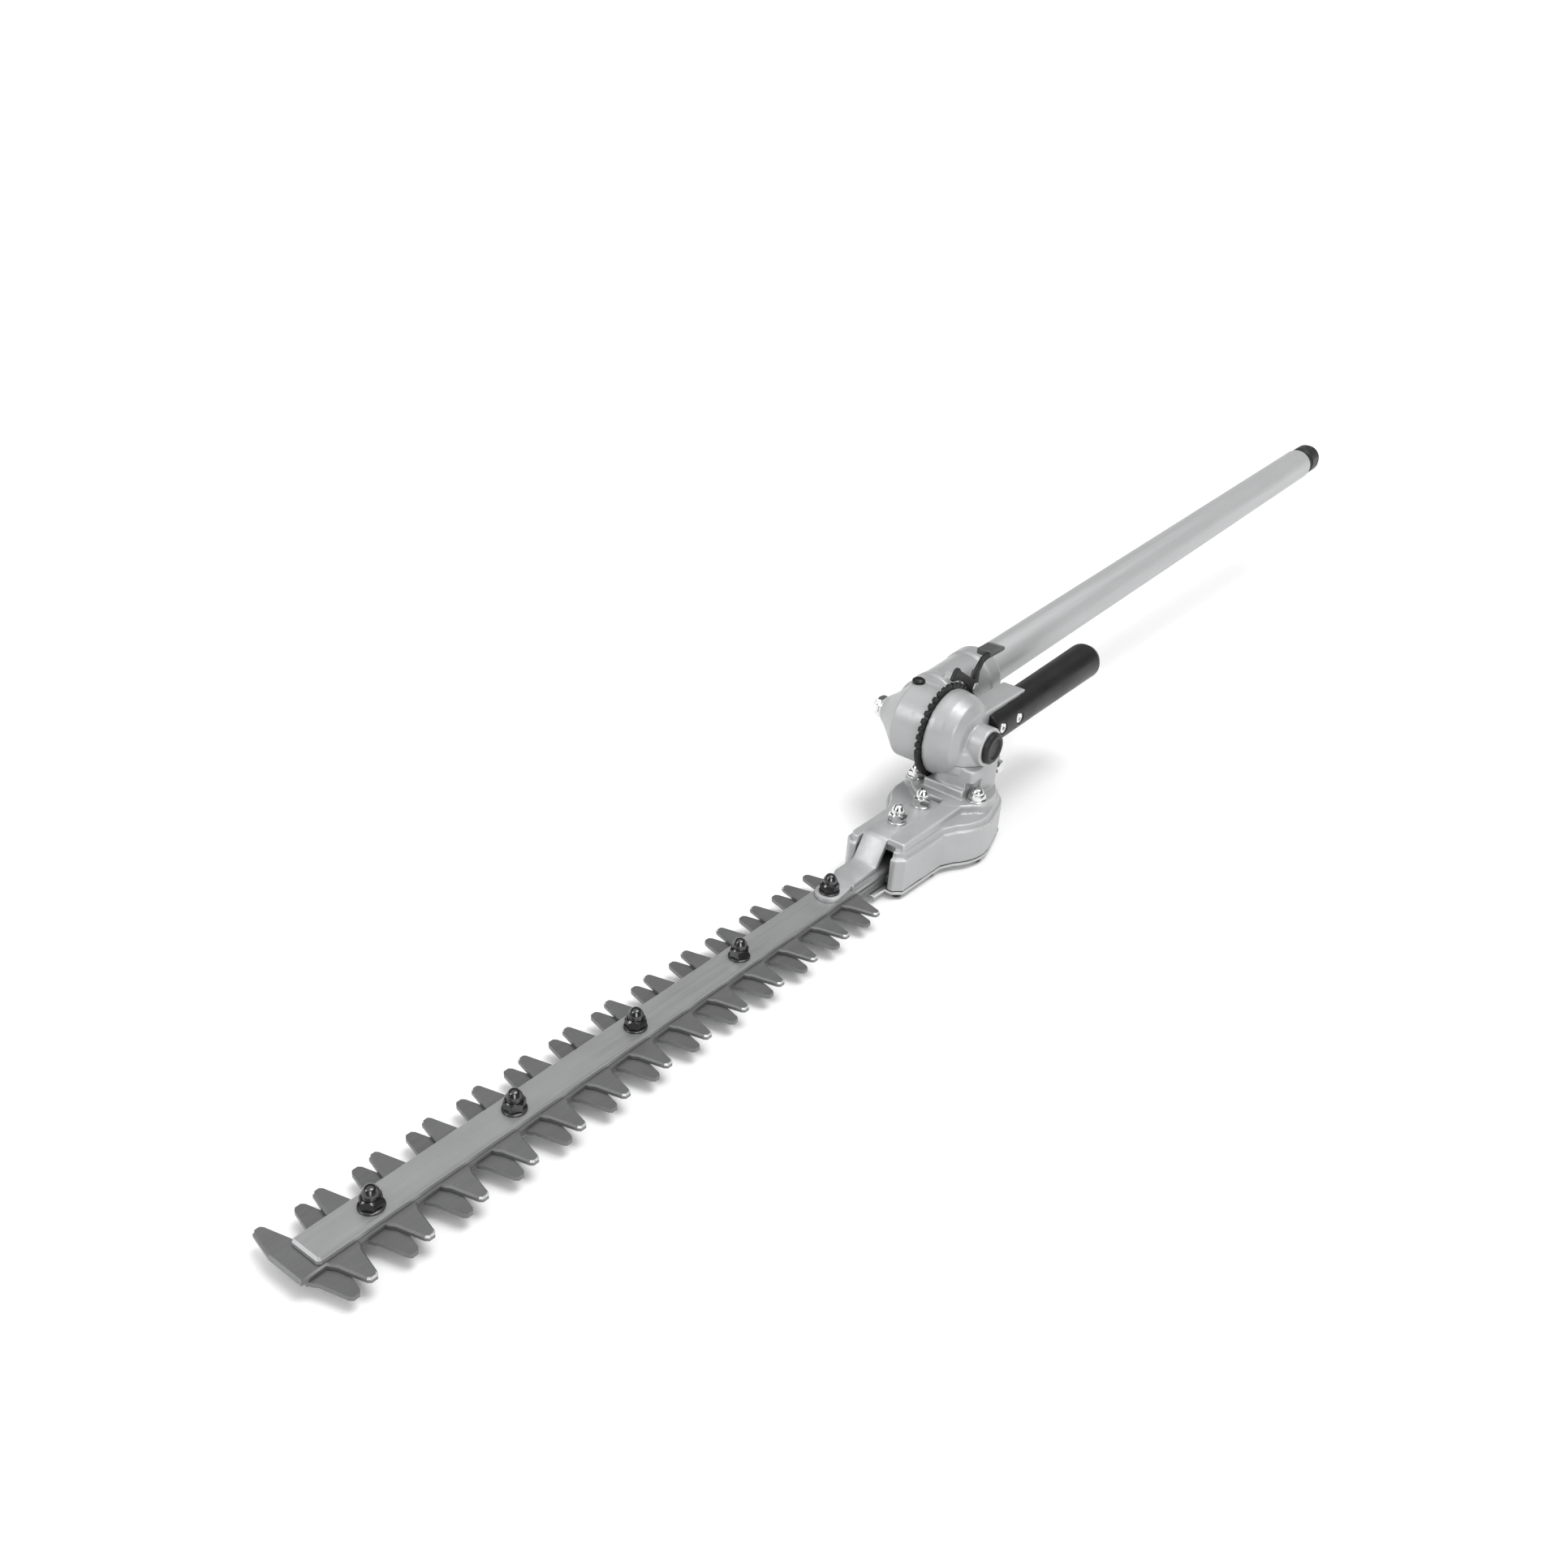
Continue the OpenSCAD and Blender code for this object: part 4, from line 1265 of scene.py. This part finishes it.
@dataclass
class Handle:
    """The rubber grip over its core, with its two screws."""

    grain: float = 0.6
    relax: int = 6
    screw_x: tuple[float, float] = (21.0, 42.0)

    def grip(self) -> Piece:
        """Moulds the grip and its cheek as one soft skin.

        Returns:
            The grip.
        """
        grip = Shape.of_node("grip", HEAD_FRAME, flatten=False)
        return Piece("grip_moulding", Body.HEAD, grip.cast(self.grain, self.relax), GRIP_RUBBER, "grip",
                     ("grip",), crease_deg=SKIN_CREASE_DEG)

    def screws(self) -> Piece:
        """Makes the socket screws sunk in the cheek.

        Returns:
            Both screws as one piece.
        """
        head = socket_cap(3.55, 1.7, 3.2)
        spots = [placed(Axis.MINUS_Y, (x, -14.9, 5), 11 * x) for x in self.screw_x]
        both = head.copies(spots)
        both.join(rod(1.98, -11.8, 0.2).copies(spots))
        return Piece("grip_cap_screws", Body.HEAD, both, NICKEL, "zinc_fasteners", ("grip_screws",))

    def build(self) -> list[Piece]:
        """Returns the handle's new pieces."""
        return [self.grip(), self.screws()]

    def dress(self) -> None:
        """Dresses the steel core."""
        dress(ZINC, "handle_core")


@dataclass
class Crankcase:
    """The crankcase, its cover and fasteners."""

    grain: float = 0.75
    relax: int = 3
    nut: tuple[float, float] = (-11.5, -21.5)
    pocket_r: float = 8.2
    pocket_top: float = -21.5
    collar_x: tuple[float, float] = (-16.0, 17.0)
    collar_y: tuple[float, float] = (-19.4, 8.0)
    collar_z: tuple[float, float] = (-36.0, -12.8)
    crank_x: float = -30.0
    clamp: tuple[float, float, float] = (23.5, 0.0, -24.0)

    def casting(self) -> Piece:
        """Casts the crankcase skin with the squared collar below the joint and its nut pocket.

        Returns:
            The crankcase.
        """
        case = Shape.of_node("crankcase", HEAD_FRAME, flatten=False)
        (front, back), (side, middle), (foot, brim) = self.collar_x, self.collar_y, self.collar_z
        collar = Shape.prism(rounded([(front, side, 3.5), (back, side, 3.5), (back, middle, 1),
                                      (front, middle, 1)]), foot, brim)
        pocket = Shape.turned([(0, foot - 4), (self.pocket_r, foot - 4), (self.pocket_r, self.pocket_top),
                               (0, self.pocket_top)], 48)
        collar.with_solid(pocket.moved(Matrix.Translation((*self.nut, 0))), "DIFFERENCE")
        case.join(collar)
        return Piece("crankcase_skin", Body.HEAD, case.cast(self.grain, self.relax), CASE_PAINT,
                     "crankcase", ("crankcase",), crease_deg=SKIN_CREASE_DEG)

    def cover(self) -> Piece:
        """Softens the bottom cover's rims, all but the crank axle's hole.

        Returns:
            The cover.
        """
        cover = Shape.of_node("bottom_cover", HEAD_FRAME)
        hole = Vector((self.crank_x, 0))
        rims = cover.sharp_edges(50, lambda e: abs(e.verts[0].co.z - e.verts[1].co.z) < LEVEL_MM
                                 and (e.verts[0].co.xy - hole).length > 6)
        cover.soften(rims, 0.4, 2)
        return Piece("cover_plate", Body.HEAD, cover, COVER_SHEET, "bottom_cover", ("bottom_cover",))

    def fasteners(self) -> list[Piece]:
        """Makes the cover screws, the neck's nuts, and the clamp bolt and nut behind the neck.

        Returns:
            One piece for each kind of fastener.
        """
        screws = stamp("cover_screws", socket_cap(3.15, 2.55, 2.7), Axis.MINUS_Z, HEAD_FRAME)
        nuts = stamp("neck_nuts", domed_nut(10.0, 9.0), Axis.Z, HEAD_FRAME, 17.0)
        bolt = hexagon(8.0, -18.1, -14.1).join(rod(2.45, -14.3, 17.9))
        bolt.moved(placed(Axis.Y, self.clamp, 10))
        nut = hexagon(8.0, 14.1, 18.0).moved(placed(Axis.Y, self.clamp, 25))
        return [Piece("cover_cap_screws", Body.HEAD, screws, BLACK_OXIDE, "black_screws",
                      ("cover_screws",)),
                Piece("neck_domed_nuts", Body.HEAD, nuts, NICKEL, "bright_nuts", ("neck_nuts",)),
                Piece("clamp_bolt", Body.HEAD, bolt, NICKEL, "zinc_fasteners", ("rear_bolt",)),
                Piece("clamp_nut", Body.HEAD, nut, NICKEL, "bright_nuts", ("rear_nut",))]

    def build(self) -> list[Piece]:
        """Returns the crankcase's new pieces."""
        return [self.casting(), self.cover(), *self.fasteners()]

    def dress(self) -> None:
        """Dresses the gasket, studs and crank drive."""
        dress(GASKET_FIBRE, "case_gasket")
        dress(ZINC, "neck_bolts", "bracket_studs")
        dress(GEAR_STEEL, "crank_gear", "crank_rollers")
        dress(SHAFT_STEEL, "crank_axle", "crank_pins")


@dataclass
class CutterBar:
    """The guide bar, its bracket and domed nuts."""

    half_width: float = 8.5
    chamfer: float = 1.15
    sheet: float = 3.0
    bend_r: float = 5.0
    tip_x: float = -505.4
    heel_x: float = -65.0
    first_bolt: float = -140.2
    bracket_y: float = 3.0
    bend_x: tuple[float, float, float, float] = (-97.5, -87.4, -89.2, -99.3)

    def bar(self) -> Piece:
        """Grinds the long chamfers on the guide bar's upper edges.

        Returns:
            The guide bar.
        """
        bar = Shape.of_node("guide_bar", HEAD_FRAME)
        top = max(v.co.z for v in bar.mesh.verts)

        def rim(edge: bmesh.types.BMEdge) -> bool:
            """Tells the bar's outer top rim from its bolt holes.

            Args:
                edge: An edge of the bar.

            Returns:
                Whether it is on the outer top rim.
            """
            ends = [v.co for v in edge.verts]
            outer = all(abs(p.y) > self.half_width - LEVEL_MM or p.x < self.tip_x or p.x > self.heel_x
                        for p in ends)
            return outer and all(p.z > top - 0.01 for p in ends)

        bar.soften(bar.sharp_edges(50, rim), self.chamfer, 1)
        return Piece("guide_bar_steel", Body.HEAD, bar, BAR_STEEL, "guide_bar", ("guide_bar",),
                     crease_deg=25.0)

    def bracket(self) -> Piece:
        """Bends the bracket from sheet and trims it to its plan.

        Returns:
            The bracket.
        """
        low, high = (HEAD_FRAME.inverted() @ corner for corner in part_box("bar_bracket"))
        t, foot, shelf = self.sheet, low.z, high.z - self.sheet
        wide, tight = self.bend_r, self.bend_r - 2
        under_foot, under_shelf, over_shelf, over_foot = self.bend_x
        side = rounded([
            (low.x - 2, foot, 0), (under_foot, foot, wide), (under_shelf, shelf, tight),
            (high.x + 2, shelf, 0), (high.x + 2, shelf + t, 0), (over_shelf, shelf + t, wide),
            (over_foot, foot + t, tight), (low.x - 2, foot + t, 0)], steps=6)
        strip = Shape.prism(side, -14, 14).moved(Matrix.Rotation(math.radians(90), 4, "X"))
        w, y = self.half_width - 0.03, self.bracket_y
        plan = arc((self.first_bolt, 0), w, 90, 270, 16) + rounded([
            (self.first_bolt + 14, -w, 3), (self.first_bolt + 18, y - w, 3), (high.x - 0.1, y - w, 3),
            (high.x - 0.1, y + w, 3), (self.first_bolt + 22, y + w, 3), (self.first_bolt + 15, w, 3)])
        strip.with_solid(Shape.prism(plan, foot - 5, shelf + 10), "INTERSECT")
        strip.soften(strip.sharp_edges(50, lambda e: True), 0.35, 2)
        return Piece("bar_bracket_plate", Body.HEAD, strip, BRACKET_ZINC, "bar_bracket",
                     ("bar_bracket",))

    def nuts(self) -> list[Piece]:
        """Stamps the domed nuts along the bar and on the bracket.

        Returns:
            The bar's nuts and the bracket's nuts.
        """
        along = stamp("bar_nuts", domed_nut(10.0, 12.0), Axis.Z, HEAD_FRAME, 31.0)
        upper = stamp("bracket_nuts", domed_nut(10.0, 12.0), Axis.Z, HEAD_FRAME, 19.0)
        # The bar's nuts take the nickel that is darkened to paint in their dark reflections.
        return [Piece("bar_domed_nuts", Body.HEAD, along, NICKEL_PAINTED_DARK, "bright_nuts", ("bar_nuts",)),
                Piece("bracket_domed_nuts", Body.HEAD, upper, NICKEL, "bright_nuts", ("bracket_nuts",))]

    def build(self) -> list[Piece]:
        """Returns the bar's new pieces."""
        return [self.bar(), self.bracket(), *self.nuts()]

    def dress(self) -> None:
        """Dresses the bolts through the bar."""
        dress(ZINC, "bar_bolts")


@dataclass
class Blades:
    """The two toothed blades with their ground edges."""

    root_y: float = 9.6
    tail_x: float = -93.0
    grind: float = 0.9
    tip_y: float = 27.6
    slope: tuple[float, float] = (0.2, 0.97)

    def ground(self, node: str, top_side: bool) -> Shape:
        """Grinds the flanks and tips of every tooth.

        Args:
            node: The blade's CAD node.
            top_side: Whether the grinding is on its upper face.

        Returns:
            The blade, the ground faces at its tips marked for the second finish.
        """
        blade = Shape.of_node(node, HEAD_FRAME)
        levels = [v.co.z for v in blade.mesh.verts]
        face_z = max(levels) if top_side else min(levels)

        def cutting(edge: bmesh.types.BMEdge) -> bool:
            """Picks the rims of the teeth on the ground face.

            Args:
                edge: An edge of the blade.

            Returns:
                Whether it is a rim to grind.
            """
            ends = [v.co for v in edge.verts]
            return all(abs(p.z - face_z) < 0.01 and abs(p.y) > self.root_y - 0.3 and p.x < self.tail_x
                       for p in ends)

        blade.soften(blade.sharp_edges(50, cutting), self.grind, 1)
        for face in blade.mesh.faces:
            face.normal_update()
            at_tip = abs(face.calc_center_median().y) > self.tip_y
            sloped = self.slope[0] < abs(face.normal.z) < self.slope[1]
            face.material_index = 1 if at_tip and sloped else 0
        return blade

    def build(self) -> list[Piece]:
        """Makes both blades.

        Returns:
            The upper blade and the lower blade.
        """
        return [Piece("upper_blade_steel", Body.BLADE_UP, self.ground("upper_blade", True), UPPER_STEEL,
                      "upper_blade", ("upper_blade",), crease_deg=20.0, second=GROUND_EDGE),
                Piece("lower_blade_steel", Body.BLADE_LOW, self.ground("lower_blade", False), LOWER_STEEL,
                      "lower_blade", ("lower_blade",), crease_deg=20.0, second=GROUND_EDGE)]

    def dress(self) -> None:
        """Nothing is left to dress: both blades are new pieces."""


# ------------------------------------------------------------------------------------ studio
@dataclass
class Studio:
    """The floor, the light and the camera."""

    floor_gap_mm: float = 1.0
    floor_m: float = 14.0
    floor_squares: int = 56
    flat_m: float = 6.0
    floor_rise: float = 0.04
    eye: tuple[float, float, float] = (-1.44898, -0.4573, 0.40254)
    look: tuple[float, float, float] = (0.7145, 0.5073, -0.4819)
    up: tuple[float, float, float] = (0.3465, 0.3418, 0.8735)
    lens_mm: float = 34.94

    def floor(self) -> None:
        """Lays the pale floor under the lowest point, flat in the middle and rising outside it."""
        bottom = CAD_BOX[0][2] - self.floor_gap_mm * MM
        mesh = bmesh.new()
        bmesh.ops.create_grid(mesh, x_segments=self.floor_squares, y_segments=self.floor_squares,
                              size=self.floor_m)
        for vertex in mesh.verts:
            outside = max(0.0, max(abs(vertex.co.x), abs(vertex.co.y)) - self.flat_m)
            vertex.co.z = bottom + self.floor_rise * outside * outside
        data = bpy.data.meshes.new("studio_floor")
        mesh.to_mesh(data)
        mesh.free()
        material = bpy.data.materials.new("pale_floor")
        material.use_nodes = True
        shader = material.node_tree.nodes["Principled BSDF"]
        shader.inputs["Base Color"].default_value = (0.93, 0.93, 0.93, 1)
        shader.inputs["Roughness"].default_value = 0.9
        shader.inputs["Specular IOR Level"].default_value = 0.0
        data.materials.append(material)
        floor = bpy.data.objects.new("studio_floor", data)
        bpy.context.scene.collection.objects.link(floor)

    def sky(self) -> None:
        """Lights the room: bright overhead, dimmer towards the horizon."""
        world = bpy.data.worlds.new("studio_room")
        bpy.context.scene.world = world
        world.use_nodes = True
        tree = world.node_tree
        background = tree.nodes["Background"]
        coords = tree.nodes.new("ShaderNodeTexCoord")
        split = tree.nodes.new("ShaderNodeSeparateXYZ")
        ramp = tree.nodes.new("ShaderNodeValToRGB")
        tree.links.new(coords.outputs["Generated"], split.inputs["Vector"])
        tree.links.new(split.outputs["Z"], ramp.inputs["Fac"])
        tree.links.new(ramp.outputs["Color"], background.inputs["Color"])
        stops = ramp.color_ramp.elements
        stops[0].position, stops[0].color = 0.0, grey(0.3)
        stops[1].position, stops[1].color = 0.85, grey(1.0)
        for position, level in ((0.2, 0.14), (0.6, 0.16)):
            stops.new(position).color = grey(level)
        background.inputs["Strength"].default_value = 1.15

    def lamp(self, name: str, towards: Sequence[float], power: float, spread_deg: float) -> None:
        """Adds one broad distant light.

        Args:
            name: The light's name.
            towards: Direction from the object to the light.
            power: Its strength.
            spread_deg: Its width as seen from the object.
        """
        data = bpy.data.lights.new(name, "SUN")
        data.energy = power
        data.angle = math.radians(spread_deg)
        light = bpy.data.objects.new(name, data)
        light.rotation_mode = "QUATERNION"
        light.rotation_quaternion = Vector(towards).to_track_quat("Z", "Y")
        bpy.context.scene.collection.objects.link(light)

    def camera(self) -> None:
        """Sets the camera from its eye point, its line of sight and its upward direction."""
        data = bpy.data.cameras.new("studio_camera")
        data.lens = self.lens_mm
        data.sensor_width = 36.0
        data.clip_start = 0.01
        data.clip_end = 200.0
        back = -Vector(self.look).normalized()
        right = Vector(self.up).cross(back).normalized()
        turn = Matrix((right, back.cross(right), back)).transposed().to_4x4()
        camera = bpy.data.objects.new("studio_camera", data)
        camera.matrix_world = Matrix.Translation(Vector(self.eye)) @ turn
        bpy.context.scene.collection.objects.link(camera)
        bpy.context.scene.camera = camera

    def build(self) -> None:
        """Sets up the whole studio."""
        self.camera()
        self.floor()
        self.sky()
        self.lamp("overhead_softbox", (0.15, -0.25, 1.0), 1.4, 30.0)
        self.lamp("side_softbox", (-0.9, 0.5, 0.7), 0.8, 24.0)
        self.lamp("front_softbox", (-0.6, -0.8, 0.55), 0.8, 24.0)
        bpy.context.scene.view_settings.view_transform = "Standard"


def main() -> None:
    """Builds the studio and every sub-assembly, and reports each piece."""
    logging.basicConfig(level=logging.INFO, format="%(message)s")
    Studio().build()
    for unit in (Pole(), UpperCase(), TiltLock(), LowerCase(), Handle(), Crankcase(), CutterBar(),
                 Blades()):
        for piece in unit.build():
            piece.publish()
        unit.dress()


if __name__ == "__main__":
    main()
